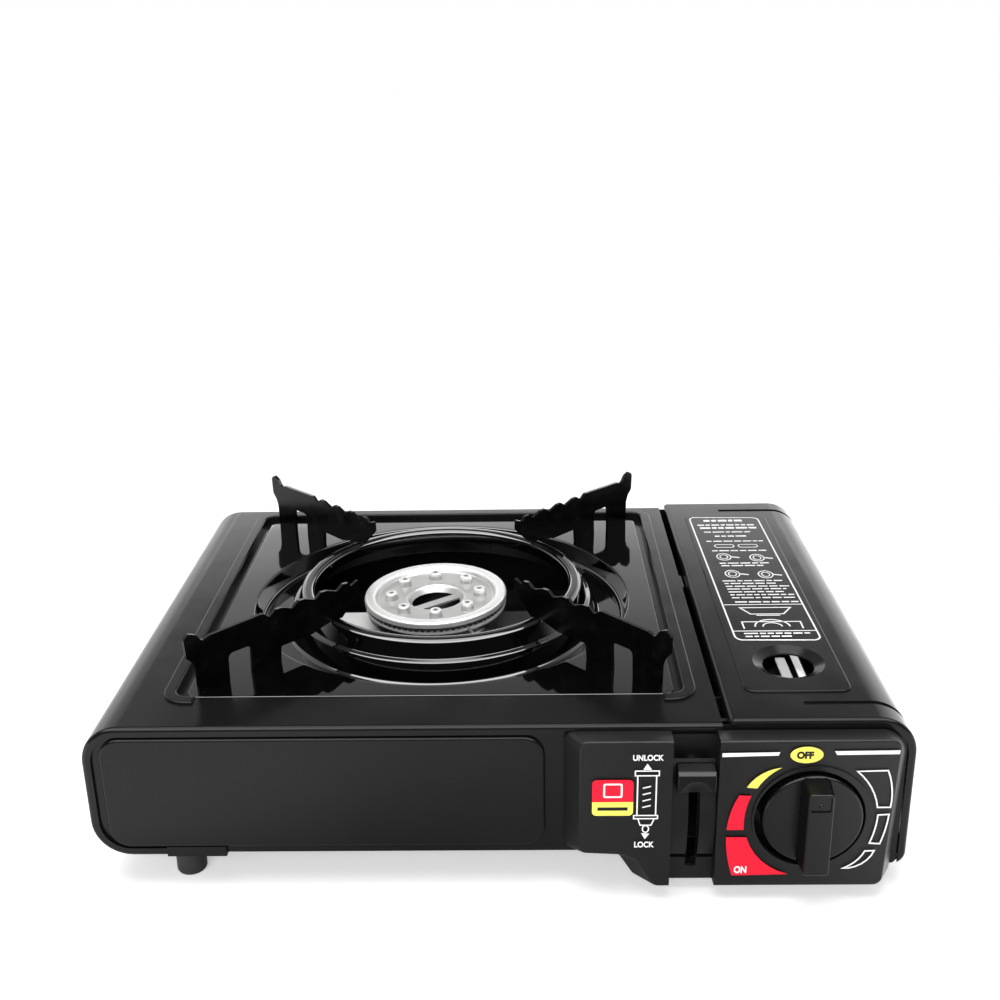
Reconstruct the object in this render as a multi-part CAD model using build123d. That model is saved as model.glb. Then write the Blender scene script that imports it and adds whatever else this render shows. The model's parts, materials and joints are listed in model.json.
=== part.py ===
"""Butane cassette stove: sheet-steel housing, lift-off drip pan and supports, cartridge bay
with a hinged cover, lever lock, regulator and burner. Millimetres, +Z up. X runs along the
width, -Y is the front with the controls, and the origin is under the middle of the stove."""

import os
from math import atan2, cos, degrees, hypot, radians, sin, sqrt, tan

from build123d import *

os.makedirs("parts", exist_ok=True)

# ---------------------------------------------------------------- overall
body_width = 340.0
body_depth = 246.5
fascia_proud = 9.5  # fascia face in front of the front panel
knob_disc_proud = 2.0  # knob disc in front of the fascia face
knob_grip_depth = 10.5  # grip fin in front of the knob disc
top_height = 77.6  # top plate above the floor
belly_height = 16.1  # underside of the burner side
bay_height = 7.2  # underside of the cartridge side
sheet = 0.8  # housing steel
corner_radius = 16.5  # round ends of the housing, seen from the front
edge_radius = 2.2  # drawn edge along the front and back
seat_gap = 0.3  # between pieces that rest on or slide past each other
slip = 0.05  # radial running clearance of pins

overall_depth = body_depth + fascia_proud + knob_disc_proud + knob_grip_depth
front_y = -overall_depth / 2 + overall_depth - body_depth
back_y = front_y + body_depth
left_x = -body_width / 2
right_x = body_width / 2

# ---------------------------------------------------------------- housing
cover_width = 79.0  # from the shell's right end to the right side
seam_x = right_x - cover_width
seam_gap = 3.0  # open seam between shell and cover
shell_flange = 4.0  # flange round the front and back openings
shell_return = 42.0  # width of the shell's return under the belly, from the left
panel_setback = 1.5  # front and rear panels behind the shell's face
pad_rise = 2.1  # raised field above the front panel
pad_left = 7.5  # field's left edge from the left of the housing
pad_right_x = seam_x - 71.2
pad_low = 21.1
pad_high = top_height - 5.0
pad_radius = 9.0
tab_from_left = 31.0  # folded seam tab under the front panel
tab_width = 25.0
tab_height = 4.6
rear_pad_low = 28.0
rear_screw_z = 22.0
rear_slot_rows = (40.0, 60.0)
slot_pitch = 16.0
end_panel_fit = 0.3  # end panels inside the shell

# ---------------------------------------------------------------- drip pan seat
pan_half_x = 104.0
pan_half_y = 101.5
pan_right_margin = 15.8  # pan to the shell's right end
pan_back_margin = 15.25
pan_x = seam_x - pan_right_margin - pan_half_x
pan_y = back_y - pan_back_margin - pan_half_y
pan_gap = 3.5  # visible gap round the pan
pan_top = 76.1  # top of the pan's flange
pan_sheet = 0.8
pan_corner = 5.0
band_width = 5.5  # raised band round the seat
band_rise = 1.2
band_return = 14.5  # how far the band turns the two front corners
ledge_width = 9.0

# ---------------------------------------------------------------- drip pan
pan_flange = 9.0  # narrowest flat flange outside the well
well_width = 16.0
collar_draft = 2.7
well_radius = min(pan_half_x, pan_half_y) - pan_flange
well_floor_z = 66.5
collar_foot_radius = well_radius - well_width
shoulder_radius = collar_foot_radius - collar_draft
shoulder_z = 75.6
rim_radius = shoulder_radius - 6.8
rim_z = 85.4
lip_radius = rim_radius - 4.0
lip_z = 77.6

# ---------------------------------------------------------------- pan supports
blade = 1.6
blade_angles = (45, 135, 225, 315)
blade_foot_inset = 2.93  # foot inside the pan's edge
blade_foot_out = sqrt(2) * (min(pan_half_x, pan_half_y) - blade_foot_inset)
blade_top = 102.2
blade_hook_top = 105.3
tooth_depth = 2.7
tongue_width = 6.0
tongue_boss = 2.0  # clinch boss longer than its tongue

# ---------------------------------------------------------------- burner
burner_x = pan_x - 3.6
burner_y = pan_y + 1.8
burner_top = 77.2
burner_tilt_x = 0.7
burner_tilt_y = -1.2
crown_radius = 35.5
crown_sheet = 1.0
crown_floor_drop = 3.4
crown_mouth_radius = 12.5
post_count = 8
post_circle = 22.0
post_turn = 3.5  # degrees from +X to the first post
post_radius = 2.75
post_foot_radius = 3.4
post_bore = 1.25
post_above_rim = 0.5
port_count = 72
port_ring_radius = 34.6
port_ring_height = 3.0
port_depth = 1.6
bowl_neck_radius = 12.0
bowl_neck_top_z = 56.0
bowl_neck_bottom_z = 33.0
mixing_z = 45.0
mixing_radius = 9.0
mixing_wall = 0.8
partition_x = seam_x - 1.6  # left face of the partition wall
catch_y = front_y + 52.25
mixing_mouth_x = partition_x - 17.4
mixing_mouth_y = catch_y + 14.0
strap_top = 59.6
strap_width = 26.0
strap_left_x = pan_x - 77.2
strap_right_x = pan_x + 74.8
strap_sheet = 1.0

# ---------------------------------------------------------------- cartridge bay and cover
cover_top = 79.6
cover_low = 9.6
cover_inset = 0.3  # cover face behind the fascia's back edge
cover_flange = 3.5
cover_edge_drop = 5.0
clip_y = pan_y + 19.5  # spring clip that holds the cover down
clip_width = 14.0
hinge_x = right_x - 6.0
hinge_z = 13.5
hinge_pin_radius = 1.5
hinge_ear_radius = 3.5
cover_swing = 92.0
cartridge_x = right_x - 39.0
cartridge_z = 42.0
sight_x = cartridge_x - 4.3
sight_y = catch_y - 4.0
sight_radius = 11.2
sight_dish_radius = 15.5
sight_dish_depth = 1.2
field_rise = 0.8  # raised field of the cover's top
field_left_x = cartridge_x - 27.5
field_right_x = cartridge_x + 17.5
field_front_y = front_y + 22.2
field_back_y = back_y - 19.5
field_radius = 5.0
groove_width = 3.0
groove_depth = 0.7
groove_wrap_z = 56.0  # how far a groove runs down the cover's right side
tray_right_x = right_x - 11.7
tray_lip = 6.0
bracket_y = catch_y - 16.0
inlet_length = 12.0
inlet_radius = 15.0
inlet_bore = 9.2
inlet_bore_depth = 8.0

# ---------------------------------------------------------------- lever lock
lever_x = partition_x - 9.5
lever_sheet = 2.0
lever_slot_width = 4.6
lever_slot_height = 46.0
lever_pivot_inset = 40.0
lever_pivot_y = front_y + lever_pivot_inset
lever_pivot_z = 36.6
lever_swing = 46.0
grip_stand_off = 13.0  # grip in front of the slot plate
grip_reach = lever_pivot_inset + grip_stand_off
lever_notch = 8.0
grip_width = 15.6
grip_face_y = lever_pivot_y - 52.95  # grip's front face at UNLOCK
grip_back_y = lever_pivot_y - 45.35
grip_low_z = 54.2
grip_high_z = 65.0
scoop_radius = 14.0
shield_radius = 47.5  # curved shield round the lever's pivot
shield_sheet = 1.4
shield_low_z = 19.2
drive_arm = 10.2
drive_pin_radius = 2.0
lever_pin_radius = 2.5
catch_sheet = 1.5
catch_mouth = 15.5

# ---------------------------------------------------------------- fascia and knob
fascia_wall = 1.8
fascia_left_x = seam_x - 57.5
lever_face_right_x = lever_x - 9.4
dial_face_left_x = lever_x + 9.1
fascia_right_x = right_x - 9.7
fascia_top = top_height - 1.8
fascia_low = 7.2
fascia_flare = 6.0
fascia_corner = 4.0
knob_x = right_x - 42.9
knob_z = 40.2
knob_radius = 20.3
knob_gap = 1.0  # to the bezel's ring
recess_gap = 2.1  # to the edge of the recess the knob turns in
recess_shift = -1.1  # recess centre beside the spindle
bezel_width = 3.0
bezel_rise = 0.8
fin_half_width = 5.05  # at the front of the fin
fin_low = -18.9  # fin's ends below and above the spindle, at its front
fin_high = 18.7
fin_draft = 5.0
fin_pocket_low = 10.8
fin_pocket_depth = 0.7
shaft_radius = 3.0
knob_swing = 135.0

# ---------------------------------------------------------------- regulator, pipe and igniter
regulator_left = knob_x - 15.1
regulator_right = knob_x + 20.9
regulator_front = bracket_y - 28.0
regulator_back = bracket_y - 4.0
regulator_low = knob_z - 14.2
regulator_high = knob_z + 15.8
diaphragm_length = 13.0
diaphragm_x = regulator_left - diaphragm_length
diaphragm_y = bracket_y - 17.5
pipe_x = partition_x + 5.1
pipe_y = catch_y + 9.0
pipe_z = 33.0
igniter_left = regulator_left + 2.0
igniter_width = 14.0
lead_y = bracket_y - 15.0
lead_high_z = 67.0
lead_low_z = 27.0
stud_y = bracket_y - 8.0
stud_low_z = 45.5
stud_high_z = 55.5
spring_post_y = bracket_y - 24.0
spring_z = 62.4

# ---------------------------------------------------------------- feet and screws
foot_radius = 6.4
foot_inset_x = 36.4
foot_inset_y = 14.2
bay_foot_x = right_x - 24.0
screw_radius = 1.5
screw_head_radius = 2.8
screw_head = 1.1

# ---------------------------------------------------------------- worked-out places
panel_front_y = front_y + panel_setback
panel_back_y = back_y - panel_setback
fascia_face_y = front_y - fascia_proud
cover_left_x = seam_x + seam_gap
seat_half_x = pan_half_x + pan_gap
seat_half_y = pan_half_y + pan_gap
flange_low = pan_top - pan_sheet
ledge_top = flange_low - seat_gap
tray_floor = bay_height + sheet
base_low = belly_height + sheet
lever_rest = lever_swing / 2
ear_front_y = panel_front_y + sheet + 1.0
ear_back_y = panel_back_y - sheet - 1.0

written = {}


def save(name, shape):
    """Write one named piece and keep it for later pieces to fit against."""
    shape.label = name
    written[name] = shape
    export_step(shape, f"parts/{name}.step")


def across(face, y0, y1):
    """Extrude a face drawn in (x, z) from y0 to y1."""
    return extrude(Plane.XZ.offset(-y1) * face, amount=y1 - y0)


def along(face, x0, x1):
    """Extrude a face drawn in (y, z) from x0 to x1."""
    return extrude(Plane.YZ.offset(x0) * face, amount=x1 - x0)


def upward(face, z0, z1):
    """Extrude a face drawn in (x, y) from z0 to z1."""
    return extrude(Plane.XY.offset(z0) * face, amount=z1 - z0)


def block(x0, x1, y0, y1, z0, z1):
    return Pos((x0 + x1) / 2, (y0 + y1) / 2, (z0 + z1) / 2) * Box(x1 - x0, y1 - y0, z1 - z0)


def rod(x, y, z, radius, length, axis):
    """A cylinder that starts at (x, y, z) and runs along +axis."""
    turn = {"x": Rot(0, 90, 0), "y": Rot(-90, 0, 0), "z": Rot(0, 0, 0)}[axis]
    return Pos(x, y, z) * turn * Cylinder(radius, length, align=(Align.CENTER, Align.CENTER, Align.MIN))


def shape2d(points, radii):
    return make_face(FilletPolyline(*points, radius=radii, close=True))


def rounded(x0, x1, z0, z1, radius):
    return Pos((x0 + x1) / 2, (z0 + z1) / 2) * RectangleRounded(x1 - x0, z1 - z0, radius)


def one(shape):
    """The single solid of a boolean result."""
    solids = shape.solids()
    return max(solids, key=lambda s: s.volume) if len(solids) > 1 else solids[0]


# ================================================================ housing


def housing_outline(inset):
    """Front outline of the burner side, open-ended to the right."""
    r = max(corner_radius - inset, 0.5)
    points = [
        (left_x + inset, belly_height + inset),
        (seam_x + 20, belly_height + inset),
        (seam_x + 20, top_height - inset),
        (left_x + inset, top_height - inset),
    ]
    return shape2d(points, [r, 0, 0, r])


def drawn_block(inset):
    """The housing block with its front and back edges rounded."""
    solid = across(housing_outline(inset), front_y + inset, back_y - inset)
    ends = solid.faces().filter_by(Axis.Y)
    edges = [e for face in ends for e in face.edges() if e.center().X < seam_x + 15]
    return fillet(edges, max(edge_radius - inset, 0.4))


def pan_seat_outline(grow):
    return Pos(pan_x, pan_y) * RectangleRounded(
        2 * (seat_half_x + grow), 2 * (seat_half_y + grow), pan_corner + 1 + max(grow, 0)
    )


def outer_shell():
    shell = drawn_block(0) - drawn_block(sheet)
    # open right end, belly and the two window openings
    shell -= block(seam_x, right_x + 60, front_y - 1, back_y + 1, 0, top_height + 1)
    shell -= block(left_x + shell_return, right_x, front_y - 1, back_y + 1, 0, belly_height + sheet + 0.01)
    window = housing_outline(shell_flange)
    shell -= across(window, front_y - 1, front_y + sheet + 0.5)
    shell -= across(window, back_y - sheet - 0.5, back_y + 1)
    # the shell stops above the fascia and at the panels' lower strips
    lower = shape2d(
        [(left_x + shell_return, 0), (seam_x + 1, 0), (seam_x + 1, 40), (left_x + shell_return, 40)], 0
    )
    shell -= across(lower, front_y - 1, front_y + edge_radius + 1)
    shell -= across(lower, back_y - edge_radius - 1, back_y + 1)
    shell -= block(fascia_left_x - fascia_flare - 1, seam_x + 1, front_y - 1, front_y + sheet + 0.2,
                   belly_height, top_height - edge_radius)
    # raised band and stepped seat for the drip pan
    band_inner = pan_seat_outline(0)
    shell -= upward(band_inner, top_height - 3, top_height + 3)
    front_gap = Pos(pan_x, pan_y - seat_half_y) * Rectangle(2 * (seat_half_x + band_width - band_return), 30.0)
    band_face = pan_seat_outline(band_width) - band_inner - front_gap
    band = upward(band_face, top_height - sheet, top_height + band_rise)
    band = fillet(band.faces().sort_by(Axis.Z)[-1].edges(), 0.9)
    wall_face = pan_seat_outline(sheet) - band_inner
    wall = upward(wall_face, ledge_top - sheet, top_height - 0.05)
    wall += upward(wall_face - front_gap, top_height - 1.0, top_height + band_rise - 0.9)
    ledge = upward(pan_seat_outline(sheet) - pan_seat_outline(-ledge_width), ledge_top - sheet, ledge_top)
    shell = shell + band + wall + ledge
    # right flange turned down along the seam
    flange = block(seam_x - sheet, seam_x, front_y + 6, back_y - 6, top_height - 9, top_height - sheet / 2)
    # folded tab over the lower edge of the front panel
    tab_x = left_x + tab_from_left
    tab = block(tab_x, tab_x + tab_width, front_y, front_y + sheet, belly_height, belly_height + tab_height)
    tab_floor = block(tab_x, tab_x + tab_width, front_y, front_y + 8, belly_height, belly_height + sheet)
    shell = shell + flange + tab + tab_floor
    for x, y in belly_feet():
        shell -= rod(x, y, belly_height - 1, screw_radius + 0.2, 4, "z")
    return one(shell)


def end_panel_outline():
    """Outline shared by the front and rear panels: belly on the left, bay and hinge on the right."""
    fit = end_panel_fit
    left = left_x + sheet + fit
    right = hinge_x + 2.2
    top = top_height - sheet - fit
    low_left = belly_height + sheet + fit
    step = fascia_left_x + 30
    ear_low = hinge_z - hinge_ear_radius
    return shape2d(
        [(left, low_left), (step, low_left), (step + 6, bay_height), (tray_right_x - 1.8, bay_height),
         (tray_right_x + 0.7, ear_low), (right, ear_low), (right, top), (left, top)],
        [corner_radius - sheet - fit, 2, 2, 1, 1, 2.2, corner_radius - 4, corner_radius - sheet - fit],
    )


def end_panel(rise, x1, low, slots):
    """Flat panel with a raised rounded field, drawn as the front one."""
    plate = across(end_panel_outline(), panel_front_y, panel_front_y + sheet)
    x0 = left_x + pad_left
    field = across(rounded(x0, x1, low, pad_high, pad_radius), panel_front_y - rise, panel_front_y + sheet / 2)
    field = fillet(field.faces().sort_by(Axis.Y)[0].edges(), min(1.3, rise * 0.8))
    hollow = across(
        rounded(x0 + sheet, x1 - sheet, low + sheet, pad_high - sheet, pad_radius - sheet),
        panel_front_y - rise + sheet,
        panel_front_y + sheet + 1,
    )
    panel = plate + field - hollow
    for slot_x, slot_z in slots:
        slot = Pos(slot_x, slot_z) * SlotOverall(14.0, 3.6, rotation=90)
        panel -= across(slot, front_y - 5, front_y + 5)
    return one(panel)


def front_panel():
    panel = end_panel(pad_rise, pad_right_x, pad_low, [])
    panel -= block(lever_x - 6, lever_x + 6, front_y - 5, front_y + 5, 12.0, top_height - 11.6)
    panel -= rod(knob_x, front_y - 5, knob_z, 9.0, 20, "y")
    return one(panel)


def rear_panel():
    """The same panel turned to the back, with air slots at both sides of the burner and its screw holes."""
    left_slots = [left_x + 20.0 + slot_pitch * k for k in range(3)]
    right_slots = [pan_x + 71.0 + slot_pitch * k for k in range(3)]
    slots = [(x, z) for z in rear_slot_rows for x in left_slots + right_slots]
    panel = end_panel(panel_setback, right_x - 30.0, rear_pad_low, slots)
    for x in rear_screw_places():
        panel -= rod(x, front_y - 5, rear_screw_z, screw_radius + 0.1, 12, "y")
    return one(Pos(0, front_y + back_y, 0) * mirror(panel, Plane.XZ))


def rear_screw_places():
    return (left_x + 60, pan_x, seam_x - 11)


def base_tray():
    """Belly plate with vents under the burner and flanges up to the end panels and partition."""
    x0 = left_x + shell_return - 12
    x1 = partition_x
    y0 = panel_front_y + sheet
    y1 = panel_back_y - sheet
    low = base_low
    plate = block(x0, x1, y0, y1, low, low + sheet)
    plate += block(x0, x1, y0, y0 + sheet, low, low + 9)
    plate += block(x0, x1, y1 - sheet, y1, low, low + 9)
    plate += block(x1 - sheet, x1, y0, y1, low, low + 9)
    for k in range(7):
        for row in (-1, 1):
            vent = Pos(burner_x - 45 + 15.0 * k, burner_y + row * 30) * SlotOverall(34, 6, rotation=90)
            plate -= upward(vent, low - 1, low + sheet + 1)
    plate -= block(lever_x - lever_notch / 2, lever_x + lever_notch / 2, y0 - 1, y0 + 8, low - 1, low + 20)
    for x, y in belly_feet():
        plate -= rod(x, y, low - 1, screw_radius + 0.2, 4, "z")
    for x in rear_screw_places():
        plate -= rod(x, y1 - 3, rear_screw_z, screw_radius + 0.1, 6, "y")
    return one(plate)


def belly_feet():
    return [(left_x + foot_inset_x, front_y + foot_inset_y), (left_x + foot_inset_x, back_y - foot_inset_y)]


def bay_feet():
    return [(bay_foot_x, front_y + foot_inset_y), (bay_foot_x, back_y - foot_inset_y)]


def cartridge_tray():
    """Floor of the cartridge bay, open towards the cover, with a low lip on the right."""
    x0 = partition_x - 14
    y0 = panel_front_y + sheet
    y1 = panel_back_y - sheet
    tray = block(x0, tray_right_x, y0, y1, bay_height, tray_floor)
    tray += block(tray_right_x - sheet, tray_right_x, y0, y1, bay_height, tray_floor + tray_lip)
    tray += block(x0, x0 + sheet, y0, y1, bay_height, base_low)
    # two pressed ribs cradle the cartridge
    for side in (-1, 1):
        rib_x = cartridge_x + side * 20
        tray += block(rib_x - 2, rib_x + 2, catch_y + 20, y1 - 20, tray_floor, tray_floor + 1.6)
    for x, y in bay_feet():
        tray -= rod(x, y, bay_height - 1, screw_radius + 0.2, 4, "z")
    return one(tray)


def partition_wall():
    """Upright wall between the burner side and the cartridge bay, with a window for the catch."""
    y0 = panel_front_y + sheet
    y1 = panel_back_y - sheet
    x0 = partition_x
    wall = block(x0, x0 + sheet, y0, y1, tray_floor, top_height - sheet - 0.2)
    wall += block(x0, x0 + 9, y0, y1, tray_floor, tray_floor + sheet)
    wall -= block(x0 - 1, x0 + sheet + 1, catch_y - 11, catch_y + 4, 36, 60)
    # the gas pipe and the ignition lead pass through
    wall -= rod(x0 - 1, pipe_y, pipe_z, 2.6, 4, "x")
    wall -= rod(x0 - 1, lead_y, lead_high_z, 2.0, 4, "x")
    for y, z in stud_places():
        wall -= rod(x0 - 1, y, z, 1.2, 4, "x")
    wall -= block(x0 - 1, x0 + 4, back_y - 109, back_y - 39, 32, 58)
    return one(wall)


# ================================================================ drip pan and supports


def pan_profile():
    """Centre line of the pan's round part, from the collar's lip out to the flange."""
    half = pan_sheet / 2
    return FilletPolyline(
        (lip_radius, lip_z),
        (rim_radius - 1.2, rim_z - half),
        (rim_radius + 0.6, rim_z - half),
        (rim_radius + 2.4, shoulder_z + 1.2),
        (shoulder_radius - 0.4, shoulder_z + 0.4),
        (collar_foot_radius, well_floor_z),
        (well_radius - 2.5, well_floor_z),
        (well_radius, flange_low + half),
        (well_radius + 4, flange_low + half),
        radius=[0.8, 0.8, 1.2, 1.0, 3.0, 3.0, 2.2],
    )


def drip_pan():
    ring = Plane.XZ * trace(pan_profile(), pan_sheet)
    round_part = revolve(ring, Axis.Z)
    flange = upward(RectangleRounded(2 * pan_half_x, 2 * pan_half_y, pan_corner), flange_low, pan_top)
    flange -= rod(0, 0, flange_low - 1, well_radius + 3.5, 3, "z")
    rim = flange.edges().filter_by(lambda e: e.center().Z > pan_top - 0.05)
    flange = fillet([e for e in rim if hypot(e.center().X, e.center().Y) > well_radius + 6], 0.35)
    pan = flange + round_part
    for angle in blade_angles:
        for s in tongue_places():
            pan -= Rot(0, 0, angle) * Pos(s, 0, pan_top) * Box(tongue_width + 0.3, blade + 0.2, 6)
    return Pos(pan_x, pan_y, 0) * one(pan)


def tongue_places():
    return (blade_foot_out - 11.2, blade_foot_out - 34.4)


def support_outline():
    """One blade seen side on: s from the pan's axis, z up."""
    top = blade_top
    out = blade_foot_out
    floor = pan_top
    points = [
        (52.0, top - 0.8),
        (51.8, top - 6.2),
        (62.5, rim_z + 0.1),
        (70.5, rim_z + 0.1),
        (80.0, rim_z - 2.2),
        (out - 42.6, rim_z - 2.0),
        (out - 42.0, floor),
        (out - 26.8, floor),
        (out - 27.4, rim_z + 4.2),
        (out - 15.6, rim_z + 4.2),
        (out - 15.2, floor),
        (out, floor),
        (out + 0.3, top - 14.0),
        (out + 1.6, top - 10.6),
        (out + 4.4, top - 7.6),
        (out + 4.8, blade_hook_top - 1.8),
        (out + 2.2, blade_hook_top),
        (out - 1.2, top + 1.6),
        (out - 3.8, top - 2.0),
        (out - 7.6, top - 0.8),
        (105.0, top - 0.1),
    ]
    teeth = []
    for k in range(4):
        peak = 97.0 - 12.4 * k
        teeth.append((peak + 4.6, top - tooth_depth))
        teeth.append((peak + 1.2, top - 0.3))
        teeth.append((peak - 2.0, top - 0.5))
    teeth.append((56.4, top - tooth_depth))
    return points + teeth


def pan_support(angle):
    points = support_outline()
    radii = [0.6, 1.0, 1.0, 1.0, 2.0, 1.0, 0.3, 0.3, 2.5, 2.5, 0.3, 0.3, 4.0, 1.5, 2.4, 2.0, 1.2, 1.2, 1.8, 1.4, 1.0]
    radii += [0.8] * (len(points) - len(radii))
    plate = shape2d(points, radii)
    shape = across(plate, -blade / 2, blade / 2)
    for s in tongue_places():
        shape += block(s - tongue_width / 2, s + tongue_width / 2, -blade / 2, blade / 2, pan_top - 2.4, pan_top + 0.01)
    return Pos(pan_x, pan_y, 0) * Rot(0, 0, angle) * one(shape)


def support_rivets():
    """Clinch bosses under the flange that hold the tongues of the supports."""
    group = []
    for angle in blade_angles:
        for s in tongue_places():
            boss = Pos(s, 0, flange_low - 0.8) * Box(tongue_width + tongue_boss, 3.6, 1.6)
            boss -= Pos(s, 0, flange_low - 0.8) * Box(tongue_width + 0.2, blade + 0.1, 3)
            group.append(Pos(pan_x, pan_y, 0) * Rot(0, 0, angle) * one(boss))
    return Compound(group)


# ================================================================ burner


def burner_place():
    return Pos(burner_x, burner_y, burner_top) * Rot(burner_tilt_x, burner_tilt_y, 0)


def burner_crown():
    """Pressed bowl: flat rim, sunk floor and a central mouth."""
    floor = -crown_floor_drop
    line = FilletPolyline(
        (crown_radius - 0.5, -port_ring_height),
        (crown_radius - 0.5, -crown_sheet / 2),
        (crown_radius - 4.6, -crown_sheet / 2),
        (crown_radius - 6.4, floor),
        (crown_mouth_radius + 2.0, floor),
        (crown_mouth_radius, floor - 3.2),
        radius=[1.0, 1.4, 1.6, 1.6],
    )
    crown = revolve(Plane.XZ * trace(line, crown_sheet), Axis.Z)
    for k in range(post_count):
        place = Rot(0, 0, post_turn + 360 / post_count * k) * Pos(post_circle, 0, floor + 0.1)
        height = crown_floor_drop + post_above_rim
        post = Cone(post_foot_radius, post_radius, height, align=(Align.CENTER, Align.CENTER, Align.MIN))
        post = fillet(post.edges().filter_by(GeomType.CIRCLE).sort_by(Axis.Z)[-1], 0.5)
        crown += place * post
        crown -= place * Pos(0, 0, -1.5) * Cylinder(post_bore, height + 3, align=(Align.CENTER, Align.CENTER, Align.MIN))
    bar = Pos(0, 0, floor - 3.2) * Rot(0, 0, 35) * Box(2 * crown_mouth_radius + 0.4, 5.0, 1.0)
    crown += bar
    return burner_place() * one(crown)


def port_ring():
    """Toothed ring under the crown's rim; the flame ports are the slots between its teeth."""
    low = -port_ring_height - 2.4
    ring = Pos(0, 0, low) * Cylinder(port_ring_radius, 2.4, align=(Align.CENTER, Align.CENTER, Align.MIN))
    ring -= Pos(0, 0, low - 1) * Cylinder(port_ring_radius - 3.0, 6, align=(Align.CENTER, Align.CENTER, Align.MIN))
    notch = Pos(port_ring_radius, 0, low + 1.2) * Box(2 * port_depth, 1.5, 2.4 + 0.2)
    notches = [Rot(0, 0, 360 / port_count * k) * notch for k in range(port_count)]
    ring -= notches
    return burner_place() * one(ring)


def burner_bowl():
    """Lower bowl from the port ring down to the neck that takes the mixing tube."""
    top = -port_ring_height - 2.4
    neck_top = bowl_neck_top_z - burner_top
    neck_low = bowl_neck_bottom_z - burner_top
    line = FilletPolyline(
        (port_ring_radius - 0.4, top - 0.1),
        (port_ring_radius - 0.9, top - 5.0),
        (bowl_neck_radius - 0.5, neck_top),
        (bowl_neck_radius - 0.5, neck_low + 0.5),
        (0.02, neck_low + 0.5),
        radius=[3.0, 4.0, 2.0],
    )
    bowl = revolve(Plane.XZ * trace(line, 1.0), Axis.Z)
    ledge = Pos(0, 0, top - 1.1) * Cylinder(port_ring_radius + 0.5, 1.0, align=(Align.CENTER, Align.CENTER, Align.MIN))
    ledge -= Pos(0, 0, top - 3) * Cylinder(port_ring_radius - 3.4, 6, align=(Align.CENTER, Align.CENTER, Align.MIN))
    bowl = burner_place() * (bowl + ledge)
    bowl -= mixing_line(-4, 40, mixing_radius + 0.05)
    return one(bowl)


mixing_dx = mixing_mouth_x - burner_x
mixing_dy = mixing_mouth_y - burner_y
mixing_length = hypot(mixing_dx, mixing_dy)
mixing_turn = degrees(atan2(mixing_dy, mixing_dx))


def mixing_line(start, length, radius):
    """A cylinder on the mixing tube's axis, measured from the burner's axis."""
    return (
        Pos(burner_x, burner_y, mixing_z)
        * Rot(0, 0, mixing_turn)
        * Pos(start, 0, 0)
        * Rot(0, 90, 0)
        * Cylinder(radius, length, align=(Align.CENTER, Align.CENTER, Align.MIN))
    )


def mixing_tube():
    """Venturi tube with a flared mouth and two air windows at the jet end."""
    start = bowl_neck_radius - 5.0
    tube = mixing_line(start, mixing_length - start, mixing_radius)
    tube += mixing_line(mixing_length - 16, 16, mixing_radius + 2.5)
    tube = tube - mixing_line(start - 1, mixing_length - 16, mixing_radius - mixing_wall)
    tube -= mixing_line(mixing_length - 16 + sheet, 20, mixing_radius + 2.5 - mixing_wall)
    window = Pos(mixing_mouth_x, mixing_mouth_y, mixing_z) * Rot(0, 0, mixing_turn) * Pos(-8, 0, 0) * Box(8, 40, 9)
    return one(tube - window)


def gas_jet():
    """Brass jet and its cross plate in the mouth of the mixing tube."""
    jet = mixing_line(mixing_length - 6, 14, 3.0)
    jet += mixing_line(mixing_length - 1.6, 1.6, mixing_radius + 2.5 - mixing_wall - 0.05)
    jet += mixing_line(mixing_length + 0.4, 5, 4.5)
    jet -= mixing_line(mixing_length - 7, 10, 0.5)
    jet -= mixing_line(mixing_length + 2.0, 8, 1.8)
    for side in (-1, 1):
        hole = mixing_line(mixing_length - 3, 4, 2.0)
        jet -= Pos(0, 0, side * 6.5) * hole
    return one(jet)


def burner_strap():
    """Bright strap under the burner, with legs bent down to the belly plate."""
    low = base_low + sheet
    y0 = burner_y - strap_width / 2
    y1 = burner_y + strap_width / 2
    under = strap_top - strap_sheet
    strap = block(strap_left_x, strap_right_x, y0, y1, under, strap_top)
    for x, out in ((strap_left_x, -1), (strap_right_x - strap_sheet, 1)):
        strap += block(x, x + strap_sheet, y0, y1, low, strap_top)
        foot_x = x - 10 if out < 0 else x
        strap += block(foot_x, foot_x + 10 + strap_sheet, y0, y1, low, low + strap_sheet)
    strap += rod(burner_x, burner_y, under, bowl_hole_radius() + 6, strap_sheet, "z")
    strap -= rod(burner_x, burner_y, under - 2, bowl_hole_radius(), 5, "z")
    return one(strap)


def bowl_hole_radius():
    """Bowl radius where it drops through the strap, plus room to fit."""
    neck_top_gap = strap_top + 1.0 - bowl_neck_top_z
    slope = (port_ring_radius - bowl_neck_radius) / (burner_top - port_ring_height - 7.4 - bowl_neck_top_z)
    return bowl_neck_radius + max(neck_top_gap, 0) * slope + 1.6


def burner_stand():
    """Pressed cup on the belly plate that carries the burner's neck."""
    low = base_low + sheet
    top = bowl_neck_bottom_z
    stand = rod(burner_x, burner_y, low, 16.0, sheet, "z")
    stand += rod(burner_x, burner_y, low, 9.0, top - low - 0.3, "z")
    stand -= rod(burner_x, burner_y, low - 1, 8.0, top - low - 0.3, "z")
    return one(stand)


electrode_angle = -62.0
electrode_reach = 43.5


def electrode_spot():
    a = radians(electrode_angle)
    return burner_x + electrode_reach * cos(a), burner_y + electrode_reach * sin(a)


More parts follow.
